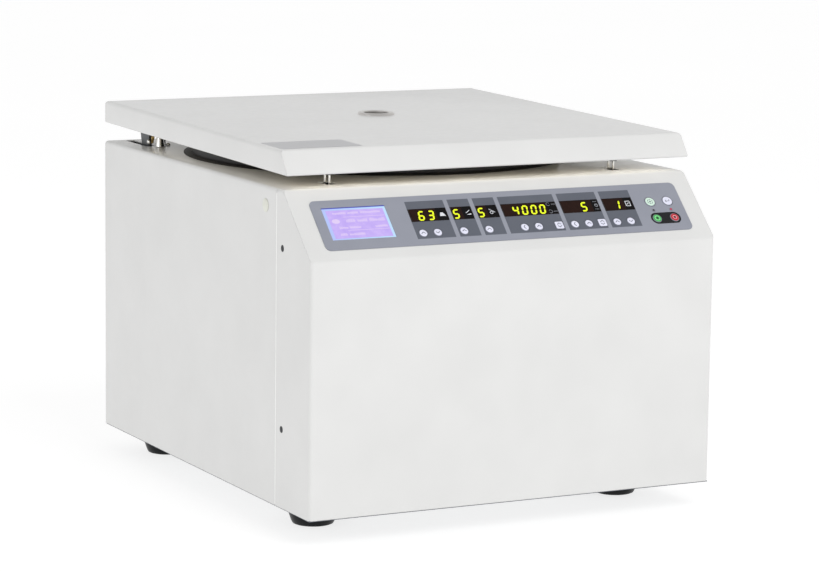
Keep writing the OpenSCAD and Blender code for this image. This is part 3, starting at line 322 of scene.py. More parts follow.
def printed_panel():
    """Reverse-printed polycarbonate: light grey, with darker boxes round the figures and a black pill."""
    made, tree, shader = finish_of("printed_polycarbonate", IOR=1.5, Specular_IOR_Level=0.35)
    u, v = slope_place(tree)
    lean = math_node(tree, "MULTIPLY", math_node(tree, "SUBTRACT", v, GROUP_V + GROUP_H), -BOX_LEAN)
    leaning = math_node(tree, "ADD", u, lean)
    boxes = 0.0
    for i, width in enumerate(GROUP_WIDTHS):
        across = inside(tree, leaning, group_left(i) + width / 2, width / 2)
        boxes = math_node(tree, "MAXIMUM", boxes, across)
    bands = math_node(tree, "MULTIPLY", boxes, inside(tree, v, BAND_V + BAND_H / 2, BAND_H / 2))
    boxes = math_node(tree, "MULTIPLY", boxes, inside(tree, v, GROUP_V + GROUP_H / 2, GROUP_H / 2))
    middle = sum(PILL_U) / 2
    pill = math_node(tree, "LESS_THAN", away(tree, u, v, middle, PILL_V, PILL_U[1] - middle), PILL_R)
    where = coords(tree)
    ground = tint(tree, noise(tree, where, 30), "#8B8E99", "#8F929D")
    dark = tint(tree, noise(tree, where, 30), "#585C66", "#5C606A")
    colour = layer(tree, boxes, ground, dark)
    colour = layer(tree, bands, colour, linear("#160E0B"))
    colour = layer(tree, pill, colour, linear("#101114"))
    tree.links.new(colour, shader.inputs["Base Color"])
    tree.links.new(spread(tree, noise(tree, where, 5), 0.36, 0.44), shader.inputs["Roughness"])
    # The film's velvet texture is some 0.2 mm across; drawn at 0.8 mm to show
    relief(tree, shader, noise(tree, where, 0.8), 0.01, 0.3)
    return made


def smoked_windows():
    """Smoked acrylic over the figures: brown-black, and blacker behind the pictograms."""
    made, tree, shader = finish_of("smoked_acrylic", IOR=1.49, Specular_IOR_Level=0.12)
    u = slope_place(tree)[0]
    signs = 0.0
    for i, divider in enumerate(DIVIDERS):
        right = group_left(i) + GROUP_WIDTHS[i]
        beside = inside(tree, u, (divider + right) / 2, (right - divider) / 2)
        signs = math_node(tree, "MAXIMUM", signs, beside)
    brown = tint(tree, noise(tree, coords(tree), 6), "#20100C", "#26140F")
    tree.links.new(layer(tree, signs, brown, linear("#0C0B0D")), shader.inputs["Base Color"])
    tree.links.new(spread(tree, noise(tree, coords(tree), 4), 0.1, 0.18), shader.inputs["Roughness"])
    return made


def indicator_lamps():
    """Two small lamps in clear bodies: the core of the right one is lit red, the left one is dark."""
    made, tree, shader = finish_of("indicator_lamps", Roughness=0.3, Emission_Strength=0.55)
    u, v = slope_place(tree)
    cores = [math_node(tree, "LESS_THAN", away(tree, u, v, centre, LAMP_V), LAMP_R) for centre in PILL_U]
    skin = tint(tree, noise(tree, coords(tree), 2), "#85868F", "#8B8C96")
    base = layer(tree, cores[0], skin, linear("#15100F"))
    tree.links.new(layer(tree, cores[1], base, linear("#7A0C2C")), shader.inputs["Base Color"])
    tree.links.new(layer(tree, cores[1], (0, 0, 0, 1), linear("#C80A4A")), shader.inputs["Emission Color"])
    return made


def backlit_display():
    """Violet backlit display under a clear window, with a paler rim where the light leaks in, and a darker
    blue band along its top that is painted shadow.
    """
    made, tree, shader = finish_of("backlit_display", Roughness=0.12, Emission_Strength=0.92)
    shader.inputs["Base Color"].default_value = linear("#2A2A48")
    shader.inputs["Specular IOR Level"].default_value = 0.2
    u, v = slope_place(tree)
    rim_u, rim_v, shadow = 3.4, 2.6, 1.2
    right, down = 0.4, 0.8
    core_u = inside(tree, u, LCD_U + LCD_W / 2 + right, LCD_W / 2 - rim_u)
    core_v = inside(tree, v, LCD_V + LCD_H / 2 - down, LCD_H / 2 - rim_v)
    core = math_node(tree, "MULTIPLY", core_u, core_v)
    # Painted shadow: a darker blue band along the top edge of the screen
    top = math_node(tree, "GREATER_THAN", v, LCD_V + LCD_H - shadow)
    along = add(tree, "ShaderNodeMapRange", {
        "Value": u, "From Min": LCD_U, "From Max": LCD_U + LCD_W,
        "To Min": 0.3, "To Max": 0.7}).outputs["Result"]
    violet = tint(tree, noise(tree, coords(tree), 9, 4.0, 0.7), "#C2AAF4", "#D4BCFA")
    rim = tint(tree, along, "#B8C9FA", "#C4E6FF")
    colour = layer(tree, top, layer(tree, core, rim, violet), linear("#4450C4"))
    tree.links.new(colour, shader.inputs["Emission Color"])
    return made


def clear_glass(name, colour):
    """Float glass in the sight port, a little hazed by fine scratches."""
    made, tree, shader = finish_of(name, Roughness=0.08, IOR=1.52, Transmission_Weight=0.4)
    smear = noise(tree, coords(tree), 8)
    tree.links.new(tint(tree, smear, colour, "#E8F0F0"), shader.inputs["Base Color"])
    return made


SPIN_AXIS = (0, AXIS_Y, 0)
WHITE = powder_coat("powder_coated_steel", "#D4D4D3", "#D8D8D7", 0.34)
LINER = powder_coat("cream_coated_liner", "#DDD5C0", "#E2DAC6", 0.3)
STAINLESS = turned_metal("spun_stainless_steel", "#B8BBBE", "#D2D4D6", 0.26, SPIN_AXIS)
ALLOY = turned_metal("turned_anodised_aluminium", "#9DA1A5", "#B6B9BC", 0.34, SPIN_AXIS)
ZINC = plated_steel("zinc_plated_steel", "#9FA2A4", "#B9BCBE", 0.36)
DARK_STEEL = plated_steel("phosphated_steel", "#55575A", "#6C6F73", 0.42)
BLACKED = plated_steel("black_oxide_steel", "#26282A", "#34363A", 0.4)
CHROME = brushed_metal("polished_chrome", "#D9D8D4", "#EDECE8", 0.1, 2, 0.6, 10)
SATIN = turned_metal("satin_chrome", "#CFCCC9", "#DCD9D6", 0.3, SPIN_AXIS)
# Painted reflection: a brass colour for the golden gleam along the front edge of each lid arm
EDGE_GLINT_BRASS = brushed_metal("brass_painted_edge_glint", "#C7A667", "#D9BC80", 0.24, 2, 0.6, 10)
FOIL = brushed_metal("blank_aluminium_foil", "#D7D7D9", "#E1E1E3", 0.5, 0)
FOOT_RUBBER = moulded("polished_black_rubber", "#050709", "#090C0F", 0.34, 1.5, 0.03, 0.5, 1.3)
# Painted shade: a dark grey for the shadowed bottom edge of the cabinet
BOTTOM_SHADE = moulded("bottom_painted_shade", "#5A5D66", "#62656E", 0.6)
RUBBER = moulded("black_moulded_rubber", "#131315", "#1C1C1E", 0.5, 1.2, 0.05, 0.5, 1.52)
BLACK = moulded("black_polyamide", "#17181A", "#1E1F22", 0.42)
KNOB = moulded("black_phenolic", "#232427", "#2C2D31", 0.3)
WHITE_PLASTIC = moulded("white_polyamide", "#D6D7CC", "#DCDDD3", 0.35)
# Painted highlight: a faintly glowing white for the pale line of light on the cover's rounded edge in each
# side seam
SEAM_HIGHLIGHT = lit("seam_painted_highlight", "#FFFFFF", 0.25, "#F0F0EE")
KEY_WHITE = moulded("white_key_polycarbonate", "#D6D7E8", "#DEDFEE", 0.3, 0.6, 0.01, 0.3)
# Painted shade: the grey that darkens the rim of each key where it meets the panel
KEY_RIM_SHADE = moulded("key_rim_painted_shade", "#777A88", "#80838F", 0.4, 0.6, 0.01)
KEY_PALE_GREEN = moulded("pale_green_key_polycarbonate", "#C6DFD0", "#D0E8D8", 0.3, 0.6, 0.01, 0.3)
KEY_GREEN = moulded("green_key_polycarbonate", "#2FA045", "#3CB051", 0.28, 0.6, 0.01, 0.3)
KEY_RED = moulded("red_key_polycarbonate", "#B01D2A", "#BE2834", 0.28, 0.6, 0.01, 0.3)
KEY_LIGHT_GREEN = moulded("light_green_print", "#7FD08A", "#90DA9A", 0.4, 0.6, 0.0)
KEY_PINK = moulded("pink_print", "#E8A0A8", "#F0B0B6", 0.4, 0.6, 0.0)
BOARD = moulded("green_solder_mask", "#245A38", "#2E6B45", 0.35, 2.0, 0.04)
CASTING = moulded("painted_motor_casting", "#6E7377", "#7C8185", 0.5, 1.5, 0.15)
PANEL = printed_panel()
SMOKED = smoked_windows()
LAMPS = indicator_lamps()
DISPLAY = backlit_display()
GLASS = clear_glass("sight_port_glass", "#C9D6D8")
LED_DIGIT = lit("yellow_green_digit_light", "#EBFF14", 1.12)
ICON_WHITE = moulded("white_screen_print", "#D6D8DE", "#E2E4E9", 0.5, 1.0, 0.0)
ICON_DIM = moulded("dim_screen_print", "#7E8087", "#8A8C93", 0.5, 1.0, 0.0)
MARK_GREY = moulded("grey_screen_print", "#666A76", "#6E7280", 0.5, 1.0, 0.0)
MARK_DARK = moulded("dark_screen_print", "#24262B", "#2D2F35", 0.5, 1.0, 0.0)
MARK_PALE = lit("pale_display_mark", "#E2CFFC", 0.92)

DRESS = {
    "front_cover": WHITE, "housing": WHITE, "rear_panel": WHITE, "lid_pan": WHITE,
    "lid_liner": LINER, "base_plate": ZINC, "chassis_frame": ZINC, "guard_ring": DARK_STEEL,
    "feet": RUBBER, "screws": BLACKED, "console_panel": PANEL, "lcd_window": DISPLAY,
    "digit_windows": SMOKED, "indicator_leds": LAMPS, "display_board": BOARD, "drive_board": BOARD,
    "chamber_bowl": STAINLESS, "chamber_seal": RUBBER, "motor": CASTING, "motor_dampers": RUBBER,
    "spindle_boot": RUBBER, "hinge_brackets": DARK_STEEL, "hinge_pins": CHROME, "hinge_springs": DARK_STEEL,
    "power_inlet": BLACK, "switch_frame": BLACK, "lock_guides": BLACK, "lock_solenoid": BLACK,
    "switch_rocker": KNOB, "release_plug": WHITE_PLASTIC, "lid_arms": DARK_STEEL, "rest_studs": CHROME,
    "latch_strikers": CHROME, "viewport_ring": SATIN, "viewport_glass": GLASS, "lid_label": FOIL,
    "lock_bar": ZINC, "spindle": ZINC, "rotor_head": ALLOY, "rotor_nut": KNOB,
    "bucket_right": ALLOY, "bucket_rear": ALLOY, "bucket_left": ALLOY, "bucket_front": ALLOY,
    "start_key": KEY_GREEN, "stop_key": KEY_RED, "menu_key": KEY_PALE_GREEN,
}


def dress_solids():
    """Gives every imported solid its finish, and smooth shading between its sharp edges."""
    for name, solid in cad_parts.items():
        solid.data.materials.clear()
        solid.data.materials.append(DRESS.get(name, KEY_WHITE))
        solid.data.polygons.foreach_set("use_smooth", np.ones(len(solid.data.polygons), bool))
        weld = solid.modifiers.new("weld", "WELD")
        weld.merge_threshold = 0.002 * MM
        split = solid.modifiers.new("edges", "EDGE_SPLIT")
        split.split_angle = math.radians(28)


# Pieces

def piece(name, points, faces, material, body, smooth=False):
    """A mesh from points in the frame of the whole part, on a body and with a finish slot."""
    mesh = bpy.data.meshes.new(name)
    mesh.from_pydata(np.asarray(points).tolist(), [], faces)
    mesh.materials.append(material)
    mesh.polygons.foreach_set("use_smooth", np.full(len(mesh.polygons), smooth))
    if smooth:
        mesh.set_sharp_from_angle(angle=math.radians(35))
    made = bpy.data.objects.new(name, mesh)
    bpy.context.collection.objects.link(made)
    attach(made, body)
    return made


def plates(name, outlines, low, high, matrix, material, body):
    """Flat plates: each outline, counter-clockwise, is raised from low to high, with walls and two faces."""
    points, faces, start = [], [], 0
    for outline in outlines:
        flat = np.asarray(outline, float)
        count = len(flat)
        points += [np.column_stack([flat, np.full(count, level)]) for level in (low, high)]
        here = np.arange(start, start + count)
        beside = np.roll(here, -1)
        faces += [here[::-1].tolist(), (here + count).tolist()]
        faces += np.stack([here, beside, beside + count, here + count], -1).tolist()
        start += 2 * count
    return piece(name, placed(np.concatenate(points), matrix), faces, material, body)


def arc(centre, radius, start, end, steps):
    """Points of a circular arc, in degrees."""
    turn = np.radians(np.linspace(start, end, steps + 1))
    return np.stack([centre[0] + radius * np.cos(turn), centre[1] + radius * np.sin(turn)], -1)


CIRCLE = arc((0, 0), 1, 0, 360, 48)[:-1]


def soft_square(corner=0.32, steps=6):
    """Square from -1 to 1 with rounded corners, counter-clockwise."""
    inset = 1 - corner
    ends = ((inset, inset, 0), (-inset, inset, 90), (-inset, -inset, 180), (inset, -inset, 270))
    return np.concatenate([arc((x, y), corner, turn, turn + 90, steps) for x, y, turn in ends])


def skin(rows, count, ring=False):
    """Quads between rows of count points each; a ring also joins its last row to its first."""
    row, col = np.meshgrid(np.arange(rows if ring else rows - 1), np.arange(count), indexing="ij")
    after, beside = (row + 1) % rows, (col + 1) % count
    quads = [row * count + col, row * count + beside, after * count + beside, after * count + col]
    return np.stack(quads, -1).reshape(-1, 4)


def lofted(name, centres, profile, matrix, material, body, ring=False, unit=CIRCLE, skirt=None):
    """Skin through copies of a unit outline, one per (size, height) step of the profile.

    x = cx + size u, y = cy + size v, z = height. The profile runs counter-clockwise in (size, height): it
    ends in two caps, or closes on itself for a ring. The first skirt[0] rows take the material skirt[1].
    """
    size, height = np.array(profile, float).T
    rows, count = len(size), len(unit)
    shape = np.empty((rows, count, 3))
    shape[..., :2] = size[:, None, None] * unit
    shape[..., 2] = height[:, None]
    shape = shape.reshape(-1, 3)
    quads = skin(rows, count, ring)
    caps = [] if ring else [list(range(count))[::-1], list(range(len(shape) - count, len(shape)))]
    points, faces = [], []
    for i, (x, y) in enumerate(centres):
        start = i * len(shape)
        points.append(shape + (x, y, 0))
        faces += (quads + start).tolist() + [[index + start for index in cap] for cap in caps]
    made = piece(name, placed(np.concatenate(points), matrix), faces, material, body, True)
    if skirt:
        made.data.materials.append(skirt[1])
        for face in made.data.polygons[:skirt[0] * count]:
            face.material_index = 1
    return made


def tube(name, paths, radius, side, material, body, steps=20):
    """Round bar along each flat path: p + radius (cos t side + sin t (tangent x side)), with flat ends."""
    side = np.array(side, float)
    turn = np.linspace(0, 2 * math.pi, steps, endpoint=False)[:, None]
    points, faces, start = [], [], 0
    for path in paths:
        tangent = np.gradient(path, axis=0)
        tangent /= np.linalg.norm(tangent, axis=1)[:, None]
        other = np.cross(tangent, side)[:, None]
        rings = path[:, None] + radius * (np.cos(turn) * side + np.sin(turn) * other)
        points.append(rings.reshape(-1, 3))
        faces += (skin(len(path), steps)[:, ::-1] + start).tolist()
        last = start + (len(path) - 1) * steps
        faces += [list(range(start, start + steps)), list(range(last, last + steps))[::-1]]
        start = last + steps
    return piece(name, placed(np.concatenate(points), UPRIGHT), faces, material, body, True)


def ring_band(centre, inner, outer, start=0, end=360, steps=24):
    """Outline of a ring, or of part of one, as quads between two arcs."""
    out, into = arc(centre, outer, start, end, steps), arc(centre, inner, start, end, steps)
    return [[into[i], out[i], out[i + 1], into[i + 1]] for i in range(steps)]


def dot(centre, radius, steps):
    """Quads of a printed dot, round a middle too small to see."""
    pinhole = 0.05
    return ring_band(centre, pinhole, radius, steps=steps)


def bar(a, b, width):
    """Straight stroke from a to b."""
    a, b = np.array(a, float), np.array(b, float)
    along = (b - a) / np.linalg.norm(b - a)
    side = np.array([-along[1], along[0]]) * width / 2
    return [a - side, b - side, b + side, a + side]


def chevron(centre, size, width, facing):
    """Open arrow of two strokes; facing is the angle that its tip points to, in degrees."""
    turn = math.radians(facing)
    ahead = np.array([math.cos(turn), math.sin(turn)])
    side = np.array([-ahead[1], ahead[0]])
    tip = np.array(centre) + ahead * size * 0.3
    return [bar(tip - ahead * size * 0.5 + side * size * 0.6, tip, width),
            bar(tip, tip - ahead * size * 0.5 - side * size * 0.6, width)]


# Segments of a digit: start and end as shares of its width and height
SEGMENTS = {
    "a": ((0, 1), (1, 1)), "b": ((1, 1), (1, 0.5)), "c": ((1, 0.5), (1, 0)), "d": ((0, 0), (1, 0)),
    "e": ((0, 0.5), (0, 0)), "f": ((0, 1), (0, 0.5)), "g": ((0, 0.5), (1, 0.5)),
}
LIT = {"0": "abcdef", "1": "bc", "3": "abcdg", "4": "bcfg", "5": "acdfg", "6": "acdefg"}
STROKE = 1.8
LEAN = math.tan(math.radians(11))


def segment(a, b, width):
    """Bar with a point at each end, as a display segment has."""
    a, b = np.array(a, float), np.array(b, float)
    along = (b - a) / np.linalg.norm(b - a)
    side = np.array([-along[1], along[0]]) * width / 2
    return [a, a + along * width / 2 - side, b - along * width / 2 - side, b,
            b - along * width / 2 + side, a + along * width / 2 + side]


def digit(figure, u, v):
    """Leaning seven-segment figure centred on u, v."""
    w, h = DIGIT_W - STROKE, DIGIT_H - STROKE
    outlines = []
    for name in LIT[figure]:
        (ax, ay), (bx, by) = SEGMENTS[name]
        ends = []
        for x, y in ((ax, ay), (bx, by)):
            dy = (y - 0.5) * h
            ends.append((u + (x - 0.5) * w + dy * LEAN, v + dy))
        shrink = (np.array(ends[1]) - ends[0]) * 0.02
        outlines.append(segment(ends[0] + shrink, ends[1] - shrink, STROKE))
    return outlines


DIGITS = (
    ("rotor_digits", (("6", 140.7), ("3", 151.9))),
    ("accel_digit", (("5", 180.9),)),
    ("decel_digit", (("5", 209.7),)),
    ("speed_digits", (("4", 250.2), ("0", 260.9), ("0", 271.4), ("0", 281.7))),
    ("time_digit", (("5", 331.4),)),
    ("program_digit", (("1", 371.1),)),
)


def make_digits():
    """Lit figures just proud of the smoked windows."""
    for name, figures in DIGITS:
        outlines = [o for figure, u in figures for o in digit(figure, u, DIGIT_V)]
        plates(name, outlines, WINDOW_TOP, WINDOW_TOP + PRINT_T, SLOPE, LED_DIGIT, "cabinet")


def moved(outlines, u, v):
    """Outlines moved to u, v."""
    return [np.asarray(outline, float) + (u, v) for outline in outlines]


def make_icons():
    """Small plain pictograms beside the figures: bright for what is chosen, dim for the rest."""
    rotor = [[(-3.4, 0), (3.4, 0), (1.2, 4.6), (-1.8, 4.6)]]
    rising = [[(-3, 0), (3, 0), (3, 1.6)], bar((-2.8, 2.2), (2.4, 5.8), 0.7)]
    falling = [bar((-3, 5.0), (3, 0.6), 0.7)] + ring_band((-1.2, 0.6), 1.2, 1.9)
    x, y = 2.6, 3.1
    page = [bar(a, b, 0.8) for a, b in (((-x, -y), (x, -y)), ((x, -y), (x, y)), ((x, y), (-x, y)),
                                        ((-x, y), (-x, -y)), ((-1.2, -1.1), (1.2, 1.1)))]
    bright = (moved(rotor, 165.0, 49.6) + moved(rising, 194.8, 49.4) + moved(falling, 222.8, 50.0)
              + moved(page, 384.8, 52.3))
    turn_high = ring_band((0, 0), 1.8, 2.3, 30, 330, 14)
    turn_low = ring_band((0, 0), 1.8, 2.3, 210, 510, 14)
    clock = ring_band((0, 0), 1.3, 2.1) + [bar((0, 0), (0, 1.2), 0.6)]
    pitch = 1.6
    unit = [bar((i * pitch, 0), (i * pitch + 1.0, 0), 1.0) for i in range(3)]
    tick = [bar((i * pitch, 0), (i * pitch + 0.9, 0), 0.8) for i in range(3)]
    dim = (moved(turn_high, 290.2, 57.2) + moved(turn_low, 290.2, 47.6)
           + moved(unit, 294.0, 57.0) + moved(unit, 294.0, 47.6)
           + moved(clock, 346.4, 52.4) + moved(tick, 344.0, 57.2) + moved(tick, 344.0, 47.4))
    for name, outlines, material in (("window_icons", bright, ICON_WHITE), ("dim_icons", dim, ICON_DIM)):
        plates(name, outlines, WINDOW_TOP, WINDOW_TOP + PRINT_T, SLOPE, material, "cabinet")


# Keys: how far in each group their centres stand, and the ways their chevrons point
PAIR_IN = 7.4
SINGLE_IN = 5.7
SPEED_IN = 17.6
UP, DOWN, LEFT = 90, -90, 180


def key_mark(node, u, v, facings, size=3.9, width=0.75):
    """Chevrons printed on a key, which ride on it."""
    outlines = []
    for facing in facings:
        turn = math.radians(facing)
        shift = 1.5 if len(facings) > 1 else 0.0
        outlines += chevron((u + math.cos(turn) * shift, v + math.sin(turn) * shift), size, width, facing)
    plates(node + "_mark", outlines, KEY_TOP, KEY_TOP + PRINT_T, SLOPE, MARK_GREY, node)


def key_cap(node, u, v, radius, square=False):
    """Low moulded cap of a key: a skirt in the panel's hole, coloured grey as painted shade round the key's
    rim, and a lighter top with a rounded edge.
    """
    slope = 0.2 if square else 0.5
    steps = ((0.0, -4.2), (0.0, 0.78), (slope, 1.04), (slope + 0.15, 1.14), (slope + 0.45, 1.24),
             (slope + 0.9, KEY_TOP))
    profile = [(radius - inset, height) for inset, height in steps]
    cap = lofted(node + "_cap", [(u, v)], profile, SLOPE, DRESS.get(node, KEY_WHITE), node,
                 unit=soft_square() if square else CIRCLE,
                 # The lowest three rows, up over the rim, take the grey of painted shade
                 skirt=(3, KEY_RIM_SHADE))
    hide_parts(node)


SMALL_KEYS = (
    ("rotor_down_key", group_left(0) + PAIR_IN, (UP,)),
    ("rotor_up_key", group_left(0) + PAIR_IN + KEY_PITCH, (DOWN,)),
    ("accel_key", group_left(1) + SINGLE_IN, (UP,)),
    ("decel_key", group_left(2) + SINGLE_IN, (UP,)),
    ("speed_down_key", group_left(3) + SPEED_IN, (LEFT,)),
    ("speed_up_key", group_left(3) + SPEED_IN + KEY_PITCH, (UP,)),
    ("speed_mode_key", group_left(3) + GROUP_WIDTHS[3] - 6.6, (UP, DOWN)),
    ("time_down_key", group_left(4) + PAIR_IN, (LEFT,)),
    ("time_up_key", group_left(4) + PAIR_IN + KEY_PITCH, (UP,)),
    ("time_mode_key", group_left(4) + GROUP_WIDTHS[4] - 5.8, (UP, DOWN)),
    ("program_down_key", group_left(5) + PAIR_IN, (UP,)),
    ("program_up_key", group_left(5) + PAIR_IN + KEY_PITCH, (DOWN,)),
)


def make_keys():
    """Caps and plain signs of the sixteen keys."""
    for node, u, facings in SMALL_KEYS:
        square = len(facings) > 1
        key_cap(node, u, KEY_V, SQUARE_KEY_R if square else KEY_R, square)
        key_mark(node, u, KEY_V, facings)
    places = {"menu_key": (PILL_U[0], MENU_V, MENU_KEY_R), "set_key": (PILL_U[1], MENU_V, MENU_KEY_R),
              "start_key": (PILL_U[0], PILL_V, START_KEY_R), "stop_key": (PILL_U[1], PILL_V, START_KEY_R)}
    for node, (u, v, radius) in places.items():
        key_cap(node, u, v, radius)
    menu, start, stop = (PILL_U[0], MENU_V), (PILL_U[0], PILL_V), (PILL_U[1], PILL_V)
    dashes = [o for turn in range(0, 360, 60) for o in ring_band(menu, 2.5, 3.2, turn, turn + 38, 4)]
    left, right, level = PILL_U[1] - 2.4, PILL_U[1] + 2.4, MENU_V - 0.4
    end = right - 0.2
    arrow = [bar((left, level), (right, level), 0.6), bar((end, level), (end, level + 2), 0.6)]
    signs = (
        ("menu_key", "mark", dashes + dot(menu, 1.0, 12), MARK_GREY),
        ("set_key", "mark", arrow + chevron((left + 0.4, level), 2.4, 0.6, LEFT), MARK_GREY),
        ("start_key", "ring", ring_band(start, 2.3, 3.3), KEY_LIGHT_GREEN),
        ("start_key", "mark", dot(start, 1.3, 16), MARK_DARK),
        ("stop_key", "ring", ring_band(stop, 1.7, 2.5), KEY_PINK),
        ("stop_key", "mark", dot(stop, 1.2, 16), MARK_DARK),
    )
    for node, part, outlines, material in signs:
        plates(node + "_" + part, outlines, KEY_TOP, KEY_TOP + PRINT_T, SLOPE, material, node)


# Rows of the display: centre height, stroke height, and the start and end of each run of strokes
DISPLAY_ROWS = (
    (60.4, 3.2, ((44.0, 58.0), (60.5, 72.0), (75.0, 97.0))),
    (50.4, 4.6, ((56.0, 66.0), (68.5, 79.0), (82.0, 99.0))),
    (42.0, 3.2, ((46.0, 55.0), (57.5, 70.0), (86.0, 99.0))),
    (33.4, 3.4, ((44.5, 52.0), (54.5, 71.0))),
)


def make_display_marks():
    """Rows of short plain strokes, an oval and thin rules, as a screen with readings has; no words."""
    glass_top, pitch, stroke = 0.5, 1.25, 0.62
    outlines = [arc((0, 0), 1, 0, 345, 23) * (4.4, 2.9) + (44.2, 50.2)]
    for v, height, runs in DISPLAY_ROWS:
        foot, rule = v - height / 2, v - height * 0.1
        for start, end in runs:
            places = np.arange(start, end, pitch)
            tall = height * (0.62 + 0.38 * np.abs(np.sin(places * 2.7)))
            outlines += [bar((u, foot), (u, foot + h), stroke) for u, h in zip(places, tall)]
            outlines.append(bar((start, rule), (end, rule), 0.4))
    outlines += [bar((54.0, v), (100.0, v), 0.45) for v in (55.2, 38.2)]
    plates("display_marks", outlines, glass_top, glass_top + PRINT_T, SLOPE, MARK_PALE,
           "cabinet")


# Feet, lock, hinge and seal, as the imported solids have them
FOOT_X = BODY_W / 2 - 54
FOOT_YS = (FRONT_Y + 104, BACK_Y - 52)
STRIKER_X = 168
STRIKER_Y = FRONT_Y + 104
EYE_Z = DECK_Z - 12
ARM_X = 208
ARM_Y = 204.0
STUD = (201, 193.5)
SEAL_R = 203.5
SEAM_Y = FRONT_Y + 81


def deck_frame(y=0.0):
    """Frame that lies on the deck, with its origin y behind the middle."""
    frame_of = UPRIGHT.copy()
    frame_of[1:3, 3] = y, DECK_Z
    return frame_of


def make_feet():
    """Black bowl-shaped rubber feet with a recess for the bolt."""
    top, bolt_r, recess_r, recess_z = BOTTOM_Z - 0.05, 4.2, 9.0, 12.0
    bowl = [(19.5, 0), (21.4, 0.8), (22.2, 2.2), (23.1, 4.2), (24.1, 7), (25.4, 11), (26.6, 15.5),
            (27.6, 20.5), (28.2, 25), (28.4, top)]
    profile = [(recess_r, 0), *bowl, (bolt_r, top), (bolt_r, recess_z), (recess_r, recess_z)]
    centres = [(x, y) for x in (-FOOT_X, FOOT_X) for y in FOOT_YS]
    feet = lofted("rubber_feet", centres, profile, UPRIGHT, FOOT_RUBBER, "cabinet",
                  ring=True)
    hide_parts("feet")


def make_latch():
    """Strikers: a chromed wire loop on a black bracket, which reaches below the bolt of the lock."""
    wire, reach, leg_points = 1.25, 5.2, 6
    low = DECK_Z + 9.0
    heights = np.linspace(low + 2, EYE_Z + 2, leg_points)
    down = np.column_stack([np.full_like(heights, STRIKER_Y - reach), heights])
    up = np.column_stack([np.full_like(heights, STRIKER_Y + reach), heights[::-1]])
    loop = np.concatenate([down, arc((STRIKER_Y, EYE_Z), reach, 180, 360, 16), up])
    paths = [np.column_stack([np.full(len(loop), x), loop]) for x in (-STRIKER_X, STRIKER_X)]
    loops = tube("striker_loops", paths, wire, (1, 0, 0), CHROME, "lid")
    base = UPRIGHT.copy()
    base[2, 3] = low
    top = DECK_Z + LID_GAP + 1.5 - low
    brackets = lofted("striker_brackets", [(-STRIKER_X, STRIKER_Y), (STRIKER_X, STRIKER_Y)],
                      [(6.9, 0), (7.3, 0.6), (8.0, top - 3), (8.0, top)], base, BLACKED, "lid",
                      unit=soft_square(0.3) * (0.55, 1.0))
    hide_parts("latch_strikers")
    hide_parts("latch_strikers")


def make_arm_details():
    """On each lid arm, a domed bolt and a thin brass strip along its front edge; the strip's golden line is
    a painted reflection of that edge's gleam.
    """
    dome = [(3.1, 0.0), (3.1, 0.5), (2.8, 1.2), (2.1, 1.8), (1.1, 2.1)]
    arm_half, bolt_up = 2.0, 4.6
    strip_high, strip_low, strip_w = (196.5, DECK_Z + 16), (202.5, DECK_Z + 3.5), 1.7
    strip_in, strip_out = -4.5, -1.6
    for side, frame_of, name in ((-1, LEFT_SIDE, "left"), (1, RIGHT_SIDE, "right")):
        outer = frame_of.copy()
        outer[0, 3] = side * (ARM_X + arm_half)
        bolt = [(side * ARM_Y, DECK_Z + bolt_up)]
        lofted("arm_bolt_" + name, bolt, dome, outer, CHROME, "lid")
        strip = bar((side * strip_high[0], strip_high[1]), (side * strip_low[0], strip_low[1]), strip_w)
        plates("arm_edge_glint_" + name, [strip], strip_in, strip_out, outer, EDGE_GLINT_BRASS, "lid")


def make_deck_details():
    """Beside each lid arm, a conical skirt on the rest stud, a rubber buffer and a bolt in the deck."""
    deck = deck_frame()
    skirt = [(3.6, 0.35), (5.4, 0.35), (5.2, 1.2), (4.3, 8.0), (3.6, 11.0)]
    buffer = [(3.6, 0), (3.6, 9), (3.0, 10.5), (1.6, 11)]
    bolt = [(2.6, 0), (2.6, 0.8), (2.2, 1.8), (1.2, 2.3)]
    for name, (x, y), profile, material, body, finish in (
            ("stud_skirts", STUD, skirt, CHROME, "lid", "chrome_parts"),
            ("deck_buffers", (192.5, 207), buffer, RUBBER, "cabinet", "black_rubber"),
            ("deck_bolts", (185.5, 207), bolt, CHROME, "cabinet", "chrome_parts")):
        lofted(name, [(-x, y), (x, y)], profile, deck, material, body, ring=name == "stud_skirts")


def make_seal_skirt():
    """Thin rubber skirt that lies on the deck round the seal."""
    skirt = [(SEAL_R + 0.1, 0.1), (SEAL_R + 8.5, 0.1), (SEAL_R + 7.5, 0.7), (SEAL_R + 0.1, 1.9)]
    lofted("seal_skirt", [(0, 0)], skirt, deck_frame(AXIS_Y), RUBBER, "cabinet",
           ring=True, unit=arc((0, 0), 1, 0, 360, 128)[:-1])


def make_seam_highlights():
    """Glowing pale strip deep in the seam of each side: a painted highlight that stands for the light on the
    front cover's rounded edge.
    """
    seam, low, high = 0.8, BOTTOM_Z + 1.5, DECK_Z - 4.5
    deep, shallow = -1.2, -0.02
    for side, frame_of, name in ((-1, LEFT_SIDE, "left"), (1, RIGHT_SIDE, "right")):
        start, end = sorted((side * SEAM_Y, side * (SEAM_Y + seam)))
        outline = [(start, low), (end, low), (end, high), (start, high)]
        plates("seam_highlight_" + name, [outline], deep, shallow, frame_of, SEAM_HIGHLIGHT, "cabinet")


